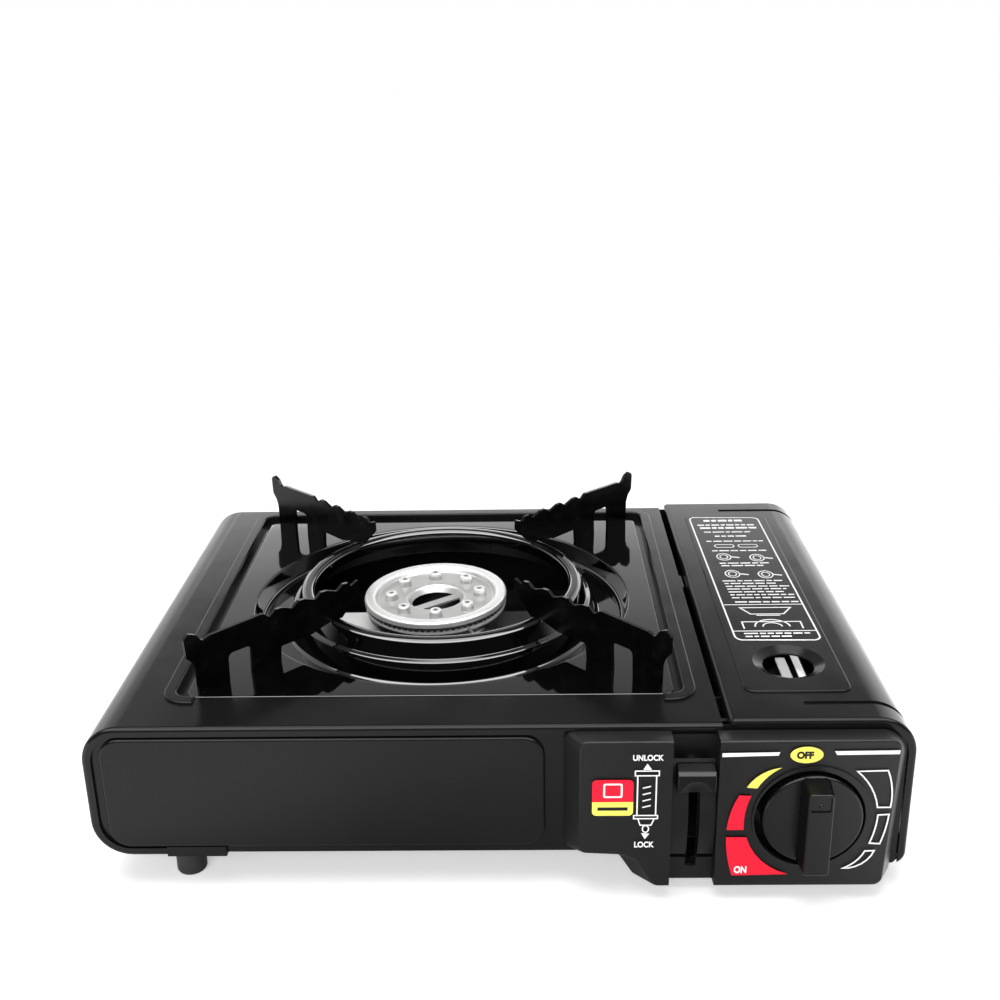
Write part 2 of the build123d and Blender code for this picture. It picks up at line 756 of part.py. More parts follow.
def electrode_bracket():
    """Small riser from the belly plate that holds the ceramic."""
    x, y = electrode_spot()
    low = base_low + sheet
    plate = block(x - 6, x + 6, y - 6, y + 6, 55.0, 56.0)
    plate += block(x - 6, x + 6, y - 7, y - 6, low, 56.0)
    plate += block(x - 6, x + 6, y - 14, y - 6, low, low + 1.0)
    plate -= rod(x, y, 50, 2.5, 10, "z")
    return one(plate)


def electrode_ceramic():
    x, y = electrode_spot()
    body = rod(x, y, 48.0, 2.45, 21.0, "z") + rod(x, y, 56.0, 3.6, 3.0, "z")
    body -= rod(x, y, 40.0, 0.8, 40.0, "z")
    return one(body)


def electrode_pin():
    """Spark wire: up through the ceramic, then bent in towards the port ring."""
    x, y = electrode_spot()
    a = radians(electrode_angle)
    path = FilletPolyline(
        (x, y, 44.0), (x, y, 72.0), (x - 5.2 * cos(a), y - 5.2 * sin(a), 73.0), radius=[1.6]
    )
    return one(sweep(Plane(origin=path @ 0, z_dir=path % 0) * Circle(0.75), path))


# ================================================================ regulator, pipe and ignition


def regulator_bracket():
    """Upright plate across the bay with a foot on the tray; the inlet passes through it."""
    x0 = partition_x + sheet + 1.2
    x1 = tray_right_x - sheet - 2
    plate = block(x0, x1, bracket_y - 1.2, bracket_y, tray_floor + sheet, 70)
    plate += block(x0 + 10, x1, bracket_y - 12, bracket_y, tray_floor, tray_floor + 1.2)
    plate -= rod(cartridge_x, bracket_y - 3, cartridge_z, 9.0, 6, "y")
    plate -= block(x0 - 1, x0 + 9, bracket_y - 3, bracket_y + 1, 0, 62)
    return one(plate)


def inlet_socket():
    """Socket that takes the cartridge nozzle."""
    y0 = bracket_y
    socket = rod(cartridge_x, y0, cartridge_z, inlet_radius, inlet_length, "y")
    socket = chamfer(socket.edges().sort_by(Axis.Y)[-1], 1.0)
    socket += rod(cartridge_x, y0 - 4, cartridge_z, 8.9, 4, "y")
    socket -= rod(cartridge_x, y0 + inlet_length - inlet_bore_depth, cartridge_z, inlet_bore, 12, "y")
    socket -= rod(cartridge_x, y0 - 6, cartridge_z, 1.5, 20, "y")
    return one(socket)


def regulator_body():
    """Die-cast block between the inlet and the valve spindle."""
    body = block(regulator_left, regulator_right, regulator_front, regulator_back, regulator_low, regulator_high)
    body = fillet(body.edges().filter_by(Axis.Y), 3)
    spindle_hole = rod(knob_x, regulator_front - 6, knob_z, shaft_radius + slip, 18, "y")
    body += rod(knob_x, regulator_front - 2, knob_z, 7.0, 2.0, "y")
    body -= spindle_hole
    body -= rod(cartridge_x, regulator_back - 5, cartridge_z, 1.5, 12, "y")
    return one(body)


def regulator_diaphragm():
    """Round housing on the left of the block, two pressed halves with a rolled rim."""
    disc = rod(diaphragm_x, diaphragm_y, knob_z, 13.0, diaphragm_length, "x")
    disc += rod(diaphragm_x + 5, diaphragm_y, knob_z, 15.5, 3.0, "x")
    disc = fillet(disc.edges().filter_by(GeomType.CIRCLE).sort_by(Axis.X)[0], 2.0)
    return one(disc)


def notch_guide():
    """Bright finger that drops into the notch of the cartridge's collar."""
    strip = block(cartridge_x - 2.25, cartridge_x + 2.25, bracket_y, catch_y + 33, 62.0, 63.2)
    strip += block(cartridge_x - 6, cartridge_x + 6, bracket_y, bracket_y + 1.2, 58.2, 63.2)
    return one(strip)


def gas_pipe_path():
    """Aluminium pipe from the regulator, behind the catch, through the partition to the jet."""
    a = radians(mixing_turn)
    jet_x = mixing_mouth_x + 3.4 * cos(a)
    jet_y = mixing_mouth_y + 3.4 * sin(a)
    return FilletPolyline(
        (jet_x, jet_y, mixing_z),
        (jet_x + 7 * cos(a), jet_y + 7 * sin(a), mixing_z),
        (partition_x - 5, pipe_y, pipe_z),
        (pipe_x, pipe_y, pipe_z),
        (pipe_x, diaphragm_y, pipe_z),
        (diaphragm_x, diaphragm_y, pipe_z),
        radius=[3.0, 3.0, 3.0, 2.5],
    )


def ignition_lead_path():
    """Insulated lead from the piezo igniter, over the lever, down to the electrode."""
    x, y = electrode_spot()
    return FilletPolyline(
        (igniter_left, lead_y, regulator_high + 5.5),
        (igniter_left - 9.0, lead_y, regulator_high + 5.5),
        (igniter_left - 16.0, lead_y, lead_high_z),
        (partition_x - 21.4, lead_y, lead_high_z),
        (partition_x - 31.4, lead_y + 6, lead_low_z),
        (x + 18, y - 10, lead_low_z),
        (x, y, lead_low_z + 2),
        (x, y, 43.8),
        radius=[4, 4, 8, 8, 10, 5],
    )


def tube_on(path, radius):
    return one(sweep(Plane(origin=path @ 0, z_dir=path % 0) * Circle(radius), path))


def piezo_igniter():
    """Igniter body above the valve block, struck by the cam on the spindle."""
    x1 = igniter_left + igniter_width
    body = block(igniter_left, x1, regulator_front, regulator_back - 2, regulator_high, regulator_high + 10)
    body = fillet(body.edges().filter_by(Axis.Y).sort_by(Axis.Z)[-2:], 2)
    body += rod(x1, regulator_front + 6, regulator_high + 5, 2.5, 3.0, "x")
    return one(body)


# ================================================================ lever lock and catch


def lever_frame(shape):
    """Place a lever piece drawn with its arm along -Y into the rest position."""
    return Pos(lever_x, lever_pivot_y, lever_pivot_z) * Rot(-lever_rest, 0, 0) * shape


def lock_lever():
    """Steel lever: long arm to the grip, short arm up to the drive pin."""
    arm_end = -grip_reach
    plate = shape2d(
        [(6.5, -5.5), (6.5, 6.5), (2.6, drive_arm + 4.0), (-4.6, drive_arm + 4.0), (-6.5, 6.0), (-16, 3.6),
         (arm_end, 3.6), (arm_end, -3.6), (-16, -3.6), (-6.5, -5.5)],
        [4, 2, 3, 3, 3, 3, 0.5, 0.5, 3, 4],
    )
    lever = along(plate, -lever_sheet / 2, lever_sheet / 2)
    lever -= rod(-5, 0, 0, lever_pin_radius + slip, 10, "x")
    turned = lever_frame(lever)
    # the drive pin stands straight above the pivot at half swing
    pin_y, pin_z = drive_pin_spot()
    turned += rod(lever_x, pin_y, pin_z, drive_pin_radius, partition_x - 2.0 - lever_x, "x")
    return one(turned)


def drive_pin_spot():
    a = radians(lever_rest)
    return lever_pivot_y + drive_arm * sin(a), lever_pivot_z + drive_arm * cos(a)


def lever_grip():
    """Moulded thumb grip on the lever's end: sloped top, scooped front."""
    profile = shape2d(
        [(grip_face_y, grip_low_z), (grip_back_y, grip_low_z - 1.8), (grip_back_y, grip_high_z),
         (grip_face_y + 1.2, grip_high_z - 1.8), (grip_face_y, grip_high_z - 3.2)],
        [1.2, 0.6, 1.6, 1.2, 0.8],
    )
    grip = along(profile, lever_x - grip_width / 2, lever_x + grip_width / 2)
    grip = fillet(grip.faces().filter_by(Axis.X).edges(), 0.6)
    scoop = Pos(lever_x, grip_face_y - 12.5, grip_low_z - 0.8) * Sphere(scoop_radius)
    pocket = block(-lever_sheet / 2 - slip, lever_sheet / 2 + slip, -grip_reach - 0.05, 0, -3.65, 3.65)
    return one(grip - scoop - lever_frame(pocket))


def lever_pivot_pin():
    pin = rod(lever_x - 4.4, lever_pivot_y, lever_pivot_z, lever_pin_radius, partition_x - lever_x + 4.4, "x")
    pin += rod(lever_x - 5.6, lever_pivot_y, lever_pivot_z, 4.2, 1.2, "x")
    return one(pin)


def lever_bracket():
    """U-shaped bracket on the partition wall that carries the pivot pin on both sides of the lever."""
    y0 = lever_pivot_y - 7
    y1 = lever_pivot_y + 7
    near = lever_x - 4.2
    low = base_low + 9.4
    bracket = block(near, near + 1.2, y0, y1, low, lever_pivot_z + 7)
    bracket += block(near, partition_x, y0, y1, low, low + 1.2)
    bracket += block(partition_x - 1.2, partition_x, y0, y1, low, lever_pivot_z - 1.0)
    bracket -= rod(near - 2, lever_pivot_y, lever_pivot_z, lever_pin_radius + 0.02, 30, "x")
    return one(bracket)


def catch_slide():
    """Slide beside the partition with a fork that holds the cartridge's collar."""
    x0 = partition_x - 3.6
    pin_y, pin_z = drive_pin_spot()
    arm_front = stud_y - 17.0
    arm_back = catch_y + catch_sheet
    arm = shape2d([(arm_front, 40.0), (arm_back, 40.0), (arm_back, 60.0), (arm_front, 60.0)], 2.0)
    slide = along(arm, x0, x0 + catch_sheet)
    travel = catch_travel()
    for z in (stud_low_z, stud_high_z):
        slot = block(x0 - 1, x0 + 3, stud_y - 2.3, stud_y + travel + 2.3, z - 2.3, z + 2.3)
        slide -= slot
    drive_slot = block(x0 - 1, x0 + 3, pin_y - drive_pin_radius - 0.2, pin_y + drive_pin_radius + 0.2,
                       pin_z - drive_pin_radius - 0.3, pin_z + drive_pin_radius + 1.4)
    slide -= drive_slot
    slide += block(x0 - 4.6, x0 + catch_sheet, catch_y - 4.0, catch_y - 3.0, 57.5, spring_z + 2.0)
    bridge_z0 = 40.6
    bridge_z1 = 57.0
    fork_x1 = cartridge_x + 24
    slide += block(x0, fork_x1, catch_y, catch_y + catch_sheet, bridge_z0, bridge_z1)
    slide += block(cartridge_x - 24, fork_x1, catch_y, catch_y + catch_sheet, 18, bridge_z0)
    slide -= rod(cartridge_x, catch_y - 2, cartridge_z, catch_mouth, 6, "y")
    slide -= block(cartridge_x - catch_mouth, cartridge_x + catch_mouth, catch_y - 2, catch_y + 4, cartridge_z, 80)
    return one(slide)


def catch_travel():
    return 2 * drive_arm * sin(radians(lever_rest))


def stud_places():
    """Two guide studs of the slide and the post of its spring."""
    return (stud_y, stud_low_z), (stud_y, stud_high_z), (spring_post_y, spring_z)


def catch_studs():
    """Shouldered studs riveted to the partition: two guide the slide, one holds the spring."""
    group = []
    x0 = partition_x - 3.6
    for y, z in stud_places():
        guides = y == stud_y
        reach = 0.3 if guides else 5.0
        stud = rod(x0 - reach, y, z, 2.0 if guides else 1.0, partition_x - x0 + reach, "x")
        if guides:
            stud += rod(x0 - 1.5, y, z, 4.0, 1.2, "x")
        stud += rod(partition_x, y, z, 1.2, sheet + 0.6, "x")
        group.append(one(stud))
    return Compound(group)


def catch_spring():
    """Close-coiled spring between the post and the slide's ear."""
    x = partition_x - 6.2
    start = spring_post_y + 1.3
    length = catch_y - 4.3 - start
    coil = Helix(pitch=2.6, height=length, radius=1.9)
    section = Plane(origin=coil @ 0, z_dir=coil % 0) * Circle(0.4)
    wire = sweep(section, coil, is_frenet=True)
    return one(Pos(x, start, spring_z) * Rot(-90, 0, 0) * wire)


# ================================================================ cover


def cover_outline(inset):
    r = max(corner_radius - inset, 0.5)
    return shape2d(
        [(cover_left_x + inset, cover_low + inset), (right_x - inset, cover_low + inset),
         (right_x - inset, cover_top - inset), (cover_left_x + inset, cover_top - inset)],
        [0, 6.0 - inset, r, 2.0 - inset],
    )


def cover_block(inset):
    solid = across(cover_outline(inset), front_y + cover_inset + inset, back_y - inset)
    ends = solid.faces().filter_by(Axis.Y)
    edges = [e for face in ends for e in face.edges()]
    return fillet(edges, max(edge_radius - inset, 0.4) * 0.8)


def wrapped_groove(cover, x0, y):
    """Press a groove that starts on the top at x0 and runs over the rounded corner down the side."""
    cut_zone = block(x0, right_x + 1, -overall_depth, overall_depth, groove_wrap_z, cover_top + 1)
    half = groove_width / 2
    skin = across(cover_outline(-1) - cover_outline(groove_depth), y - half, y + half)
    lining = across(
        cover_outline(sheet * 0.5) - cover_outline(sheet + groove_depth), y - half - sheet * 0.8, y + half + sheet * 0.8
    )
    zone_low = block(x0 - 1, right_x + 1, -overall_depth, overall_depth, groove_wrap_z - 1, cover_top + 1)
    return cover + (lining & zone_low) - (skin & cut_zone)


def cartridge_cover():
    cover = cover_block(0) - cover_block(sheet)
    # open belly and left side, end windows
    cover -= block(cover_left_x - 1, hinge_x + 0.2, front_y - 1, back_y + 1, 0, cover_low + sheet + 0.2)
    cover -= block(cover_left_x - 1, cover_left_x + 3.0, front_y - 1, back_y + 1, 0, cover_top - cover_edge_drop)
    corner = block(cover_left_x - 1, cover_left_x + 3.0, front_y - 1, front_y + 4.0, 0, top_height - sheet)
    cover -= corner
    cover -= Pos(0, front_y + back_y, 0) * mirror(corner, Plane.XZ)
    window = shape2d(
        [(cover_left_x - 5, 0), (right_x - cover_flange, 0), (right_x - cover_flange, cover_top - cover_flange),
         (cover_left_x - 5, cover_top - cover_flange)],
        [0, 0, corner_radius - cover_flange, 0],
    )
    cover -= across(window, front_y - 1, front_y + sheet + 0.6)
    cover -= across(window, back_y - sheet - 0.6, back_y + 1)
    # hinge ears at both ends
    lip_cut = block(cover_left_x, right_x - sheet, front_y + cover_inset + sheet, front_y + 3.2, 0, cover_low + 6.0)
    cover -= lip_cut
    cover -= Pos(0, front_y + back_y, 0) * mirror(lip_cut, Plane.XZ)
    for y0, y1 in ((ear_front_y, ear_front_y + 1.2), (ear_back_y - 1.2, ear_back_y)):
        ear = rod(hinge_x, y0, hinge_z, hinge_ear_radius, y1 - y0, "y")
        ear += block(hinge_x, right_x - sheet / 2, y0, y1, hinge_z - 1.5, hinge_z + 9)
        cover += ear
        cover -= rod(hinge_x, y0 - 1, hinge_z, hinge_pin_radius + slip, 4, "y")
    # dished sight hole
    field = upward(
        rounded(field_left_x, field_right_x, field_front_y, field_back_y, field_radius),
        cover_top - sheet / 2, cover_top + field_rise,
    )
    cover += fillet(field.faces().sort_by(Axis.Z)[-1].edges(), field_rise * 0.9)
    dish = Pos(sight_x, sight_y, cover_top + field_rise) * Cone(
        sight_radius, sight_dish_radius, sight_dish_depth + field_rise,
        align=(Align.CENTER, Align.CENTER, Align.MAX)
    )
    dish_under = Pos(sight_x, sight_y, cover_top - sheet) * Cone(
        sight_radius + 0.6, sight_dish_radius, sight_dish_depth, align=(Align.CENTER, Align.CENTER, Align.MAX)
    )
    cover = cover + dish_under - dish - rod(sight_x, sight_y, cover_top - 8, sight_radius, 12, "z")
    cover = wrapped_groove(cover, cartridge_x - 5.0, front_y + 13.4)
    cover = wrapped_groove(cover, cartridge_x - 7.0, back_y - 12.8)
    return one(cover)


def cover_hinge_pins():
    """Pins riveted to the end panels; the cover's ears turn on them."""
    shank = 3.4
    collar = 0.7
    front = rod(hinge_x, panel_front_y + sheet, hinge_z, hinge_pin_radius, shank, "y")
    front += rod(hinge_x, panel_front_y + sheet, hinge_z, 2.6, collar, "y")
    back_end = panel_back_y - sheet
    back = rod(hinge_x, back_end - shank, hinge_z, hinge_pin_radius, shank, "y")
    back += rod(hinge_x, back_end - collar, hinge_z, 2.6, collar, "y")
    return Compound([one(front), one(back)])


def cover_catch():
    """Spring clip on the partition that holds the cover's edge down."""
    x0 = seam_x
    edge = cover_top - cover_edge_drop
    y0 = clip_y - clip_width / 2
    y1 = clip_y + clip_width / 2
    clip = block(x0, x0 + 0.6, y0, y1, edge - 8, edge)
    clip += block(x0 + 0.6, x0 + 2.4, y0, y1, edge - 3.2, edge - 1.2)
    return one(clip)


# ================================================================ fascia and knob


def fascia_face_outline():
    return [
        (fascia_left_x, 23.8), (fascia_left_x + 17.5, 22.8), (fascia_left_x + 23.5, 20.6),
        (fascia_left_x + 30.7, fascia_low),
        (fascia_right_x - 2.8, fascia_low), (fascia_right_x, fascia_top), (fascia_left_x, fascia_top),
    ]


def fascia_base_outline():
    f = fascia_flare
    return [
        (fascia_left_x - f, 19.8), (fascia_left_x + 12.5, 18.6), (fascia_left_x + 17.0, 16.0),
        (fascia_left_x + 23.5, fascia_low - 1.6),
        (fascia_right_x + 2.6, fascia_low - 1.6), (fascia_right_x + f - 0.6, fascia_top - 0.6),
        (fascia_left_x - f, fascia_top - 0.6),
    ]


def fascia_block(shrink):
    """The moulding's outer form, or its hollow when shrunk by the wall."""
    face_radii = [3.0, 4.0, 4.0, 4.0, fascia_corner, fascia_corner, fascia_corner]
    base_radii = [4.0, 4.0, 4.0, 4.0, fascia_corner, 11.0, fascia_corner]
    face_wire = shape2d(fascia_face_outline(), face_radii)
    base_wire = shape2d(fascia_base_outline(), base_radii)
    if shrink:
        face_wire = offset(face_wire, -shrink)
        base_wire = offset(base_wire, -shrink)
    y_face = fascia_face_y + shrink
    face = Plane.XZ.offset(-y_face) * face_wire
    base = Plane.XZ.offset(-front_y) * base_wire
    return loft([base.face(), face.face()])


def control_fascia():
    outer = fascia_block(0)
    outer = fillet(outer.faces().sort_by(Axis.Y)[0].edges(), 0.9)
    hollow = fascia_block(fascia_wall)
    shell = outer - hollow
    x0 = lever_face_right_x
    x1 = dial_face_left_x
    # lever recess: open at the top, closed by a sill at the bottom
    sill_top = 16.6
    sill_y = front_y - 2.8
    shell -= block(x0, x1, fascia_face_y - 1, front_y + 1, sill_top, fascia_top + 2)
    shell -= block(x0, x1, fascia_face_y - 1, sill_y, 0, sill_top + 1)
    for wall_x in (x0 - fascia_wall, x1):
        shell += block(wall_x, wall_x + fascia_wall, fascia_face_y + 0.5, front_y, fascia_low + 1, fascia_top - 0.8)
    shell += block(x0, x1, sill_y, sill_y + fascia_wall, fascia_low - 0.4, sill_top)
    shell -= block(lever_x - 2.2, lever_x + 2.2, fascia_face_y, front_y + 1, 12.4, sill_top + 1)
    # bezel and hole for the knob
    shell += rod(knob_x, fascia_face_y - bezel_rise, knob_z, knob_radius + knob_gap + bezel_width, bezel_rise + 1, "y")
    shell -= rod(knob_x + recess_shift, fascia_face_y - 5, knob_z, knob_radius + recess_gap, 20, "y")
    # spigot that seats the moulding on the front panel
    foot_top = fascia_top - fascia_wall
    for sx0, sx1, sz0, sz1 in (
        (fascia_left_x + 3, lever_face_right_x - 4, foot_top - 2.0, foot_top),
        (dial_face_left_x + 3.6, fascia_right_x - 6, 10.0, 12.0),
        (fascia_left_x + 3, lever_face_right_x - 4, 27.0, 29.0),
        (dial_face_left_x + 3.6, fascia_right_x - 8, foot_top - 2.0, foot_top),
    ):
        spigot_box = block(sx0, sx1, fascia_face_y + 1.0, panel_front_y, sz0, sz1)
        shell += spigot_box
    shell -= rod(knob_x + recess_shift, fascia_face_y - 5, knob_z, knob_radius + recess_gap, 20, "y")
    return one(shell)


def lever_slot_plate():
    """Back of the recess: a flat plate and a shield curved round the lever's pivot, slotted for the lever."""
    x0 = lever_face_right_x - fascia_wall - 1.5
    x1 = dial_face_left_x + fascia_wall + 1.5
    plate = block(x0, x1, front_y, panel_front_y - 0.2, 10.0, 73.5)
    inner_x0 = lever_face_right_x + seat_gap
    inner_x1 = dial_face_left_x - seat_gap
    width = inner_x1 - inner_x0
    shield = rod(inner_x0, lever_pivot_y, lever_pivot_z, shield_radius, width, "x")
    shield -= rod(inner_x0 - 1, lever_pivot_y, lever_pivot_z, shield_radius - shield_sheet, width + 2, "x")
    shield &= block(inner_x0, inner_x1, fascia_face_y, front_y + 0.4, shield_low_z, 73.0)
    low_drop = lever_pivot_z - shield_low_z
    web_y = lever_pivot_y - sqrt(shield_radius ** 2 - low_drop ** 2)
    web = block(inner_x0, inner_x1, web_y + 0.6, front_y + 0.4, shield_low_z, shield_low_z + shield_sheet)
    plate = plate + shield + web
    slot = Pos(lever_x, lever_pivot_z) * RectangleRounded(
        lever_slot_width, lever_slot_height, lever_slot_width / 2 - 0.01
    )
    plate -= across(slot, fascia_face_y - 1, front_y + 2)
    return one(plate)


def grip_fin(disc_front):
    """Tapered fin across the disc, with a small pocket and a dot at its upper end."""
    depth = knob_grip_depth + 3.0
    spread = depth * tan(radians(fin_draft))
    half = fin_half_width + spread
    base = Plane(origin=(0, disc_front + 3.0, 0), x_dir=(1, 0, 0), z_dir=(0, -1, 0))
    outline = rounded(knob_x - half, knob_x + half, knob_z + fin_low - spread, knob_z + fin_high + spread, 2.6)
    fin = extrude(base * outline, depth, taper=fin_draft)
    fin = fillet(fin.faces().sort_by(Axis.Y)[0].edges(), 0.6)
    front = disc_front - knob_grip_depth
    pocket = rounded(knob_x - fin_half_width + 1.0, knob_x + fin_half_width - 1.0, knob_z + fin_pocket_low,
                     knob_z + fin_high - 0.9, 0.8)
    fin -= across(pocket, front - 1, front + fin_pocket_depth)
    dot = Pos(knob_x, front + fin_pocket_depth + 0.4, knob_z + fin_pocket_low + 2.4) * Sphere(1.0)
    return fin + dot


def knob():
    """Disc with a full-height grip fin, a skirt through the fascia and a hub for the spindle."""
    disc_front = fascia_face_y - knob_disc_proud
    body = rod(knob_x, disc_front, knob_z, knob_radius, 5.0, "y")
    body = fillet(body.edges().filter_by(GeomType.CIRCLE).sort_by(Axis.Y)[0], 1.2)
    body += grip_fin(disc_front)
    body += rod(knob_x, disc_front, knob_z, 6.0, fascia_proud + 1.0, "y")
    body -= rod(knob_x, disc_front + 2.0, knob_z, shaft_radius + 0.01, 20, "y")
    return one(body)


def knob_shaft():
    """Valve spindle with a flat, from the knob into the regulator block."""
    y0 = fascia_face_y - knob_disc_proud + 2.2
    shaft = rod(knob_x, y0, knob_z, shaft_radius, regulator_front + 11 - y0, "y")
    shaft -= block(knob_x - 5, knob_x + 5, y0 - 1, y0 + 8, knob_z + shaft_radius - 0.6, knob_z + 5)
    return one(shaft)


def trip_cam():
    """Cam on the spindle that trips the igniter at the end of the turn."""
    y0 = panel_front_y + sheet + 1.0
    disc = rod(knob_x, y0, knob_z, 8.0, 2.6, "y")
    disc += block(knob_x - 2.0, knob_x + 2.0, y0, y0 + 2.6, knob_z - 12.0, knob_z)
    disc -= rod(knob_x, y0 - 1, knob_z, shaft_radius + 0.01, 6, "y")
    return one(disc)


# ================================================================ feet and screws


def foot(x, y, height):
    body = rod(x, y, 0, foot_radius, height, "z")
    body = fillet(body.edges().sort_by(Axis.Z)[0], 1.6)
    body -= rod(x, y, height - 2.4, screw_radius, 4, "z")
    return one(body)


def foot_screws():
    group = []
    for places, floor in ((belly_feet(), base_low + sheet), (bay_feet(), tray_floor)):
        for x, y in places:
            screw = rod(x, y, floor, screw_head_radius, screw_head, "z")
            screw += rod(x, y, floor - 3.2, screw_radius - 0.02, 3.4, "z")
            group.append(one(screw))
    return Compound(group)


def rear_screws():
    group = []
    for x in rear_screw_places():
        head = rod(x, panel_back_y, rear_screw_z, screw_head_radius, screw_head, "y")
        head += rod(x, panel_back_y - 4, rear_screw_z, screw_radius, 4.2, "y")
        group.append(one(head))
    return Compound(group)


# ================================================================ write the pieces

save("outer_shell", outer_shell())
save("front_panel", front_panel())
save("rear_panel", rear_panel())
save("base_tray", base_tray())
save("cartridge_tray", cartridge_tray())
save("partition_wall", partition_wall())
save("drip_pan", drip_pan())
for index, angle in enumerate(blade_angles):
    save(f"pan_support_{index + 1}", pan_support(angle))
save("support_rivets", support_rivets())
save("burner_crown", burner_crown())
save("burner_port_ring", port_ring())
save("burner_bowl", burner_bowl())
save("mixing_tube", mixing_tube())
save("gas_jet", gas_jet())
save("burner_strap", burner_strap())
save("burner_stand", burner_stand())
save("electrode_bracket", electrode_bracket())
save("electrode_ceramic", electrode_ceramic())
save("electrode_pin", electrode_pin())
save("regulator_bracket", regulator_bracket())
save("inlet_socket", inlet_socket())
save("regulator_body", regulator_body())
save("regulator_diaphragm", regulator_diaphragm())
save("notch_guide", notch_guide())
save("gas_pipe", tube_on(gas_pipe_path(), 1.75))
save("ignition_lead", tube_on(ignition_lead_path(), 1.1))
save("piezo_igniter", piezo_igniter())
save("lock_lever", lock_lever())
save("lever_grip", lever_grip())
save("lever_pivot_pin", lever_pivot_pin())
save("lever_bracket", lever_bracket())
save("catch_slide", catch_slide())
save("catch_studs", catch_studs())
save("catch_spring", catch_spring())
save("cartridge_cover", cartridge_cover())
save("cover_hinge_pins", cover_hinge_pins())
save("cover_catch", cover_catch())
save("control_fascia", control_fascia())
save("lever_slot_plate", lever_slot_plate())
save("knob", knob())
save("knob_shaft", knob_shaft())
save("trip_cam", trip_cam())
for side, (x, y) in zip(("front_left", "rear_left"), belly_feet()):
    save(f"foot_{side}", foot(x, y, belly_height))
for side, (x, y) in zip(("front_right", "rear_right"), bay_feet()):
    save(f"foot_{side}", foot(x, y, bay_height))
save("foot_screws", foot_screws())
save("rear_screws", rear_screws())
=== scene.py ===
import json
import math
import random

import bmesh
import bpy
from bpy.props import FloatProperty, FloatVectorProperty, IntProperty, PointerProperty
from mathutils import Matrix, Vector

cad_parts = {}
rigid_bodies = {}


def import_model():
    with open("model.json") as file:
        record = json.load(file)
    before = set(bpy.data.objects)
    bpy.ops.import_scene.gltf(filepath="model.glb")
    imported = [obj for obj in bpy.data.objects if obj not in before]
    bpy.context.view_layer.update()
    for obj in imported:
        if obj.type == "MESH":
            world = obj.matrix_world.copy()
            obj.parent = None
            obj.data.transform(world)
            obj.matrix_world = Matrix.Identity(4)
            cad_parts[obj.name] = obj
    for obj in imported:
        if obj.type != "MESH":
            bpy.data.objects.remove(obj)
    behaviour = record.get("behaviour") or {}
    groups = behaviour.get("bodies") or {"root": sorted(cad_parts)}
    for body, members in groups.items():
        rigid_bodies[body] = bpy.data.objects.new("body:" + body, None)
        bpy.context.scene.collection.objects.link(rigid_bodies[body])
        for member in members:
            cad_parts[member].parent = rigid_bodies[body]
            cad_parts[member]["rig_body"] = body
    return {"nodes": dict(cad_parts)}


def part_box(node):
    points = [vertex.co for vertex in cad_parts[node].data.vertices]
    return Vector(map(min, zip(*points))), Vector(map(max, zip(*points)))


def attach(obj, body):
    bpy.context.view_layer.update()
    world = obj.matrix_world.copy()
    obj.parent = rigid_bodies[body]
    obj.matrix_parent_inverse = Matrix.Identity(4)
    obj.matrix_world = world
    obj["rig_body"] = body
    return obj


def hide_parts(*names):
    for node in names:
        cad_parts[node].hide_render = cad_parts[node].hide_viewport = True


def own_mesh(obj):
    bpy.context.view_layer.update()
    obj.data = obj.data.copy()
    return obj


bl_info = {
    "name": "Butane cassette stove",
    "version": (1, 1, 0),
    "blender": (4, 5, 0),
    "location": "View3D > Sidebar > Stove",
    "description": "Dresses a single-burner cassette stove: paint, enamel, burner metal and printed marks",
    "category": "Add Mesh",
}

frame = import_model()

MM = 0.001
MICRON = 0.000001


# ---------------------------------------------------------------- sizes and colours


def colour(name, description, default):
    return FloatVectorProperty(
        name=name, description=description, default=default, subtype="COLOR", size=3, min=0.0, max=1.0
    )


def length(name, description, default):
    """A size in millimetres."""
    return FloatProperty(name=name, description=description + ", in millimetres", default=default)


def lamp_power(name, description, default):
    return FloatProperty(name=name, description=description, default=default, unit="POWER", min=0.0)


class StoveFinishes(bpy.types.PropertyGroup):
    """Colours of the paints, plastics, metals and printing inks."""

    paint: colour("Housing paint", "Satin charcoal paint of the sheet housing", (0.0066, 0.0066, 0.0068))
    enamel: colour("Pan enamel", "Glossy black enamel of the drip pan", (0.0012, 0.0012, 0.0012))
    support: colour("Support enamel", "Black enamel of the pan supports", (0.0012, 0.0012, 0.0012))
    fascia: colour("Fascia plastic", "Fine-grained plastic of the control fascia", (0.0075, 0.0075, 0.0078))
    knob: colour("Knob plastic", "Smooth plastic of the knob and the thumb grip", (0.0042, 0.0042, 0.0044))
    crown: colour("Burner crown", "Pressed light alloy of the burner crown", (0.34, 0.34, 0.335))
    iron: colour("Port ring", "Heat-darkened metal of the port ring", (0.05, 0.05, 0.05))
    zinc: colour("Inner sheet", "Dark-coated sheet of the trays and inner walls", (0.012, 0.012, 0.0125))
    white_ink: colour("White ink", "White print of lines and words", (0.93, 0.93, 0.93))
    red_ink: colour("Red ink", "Red print of the high-flame fields", (0.86, 0.016, 0.042))
    yellow_ink: colour(
        "Yellow ink", "Yellow print of the off mark and the low-flame wedge", (0.95, 0.86, 0.15)
    )


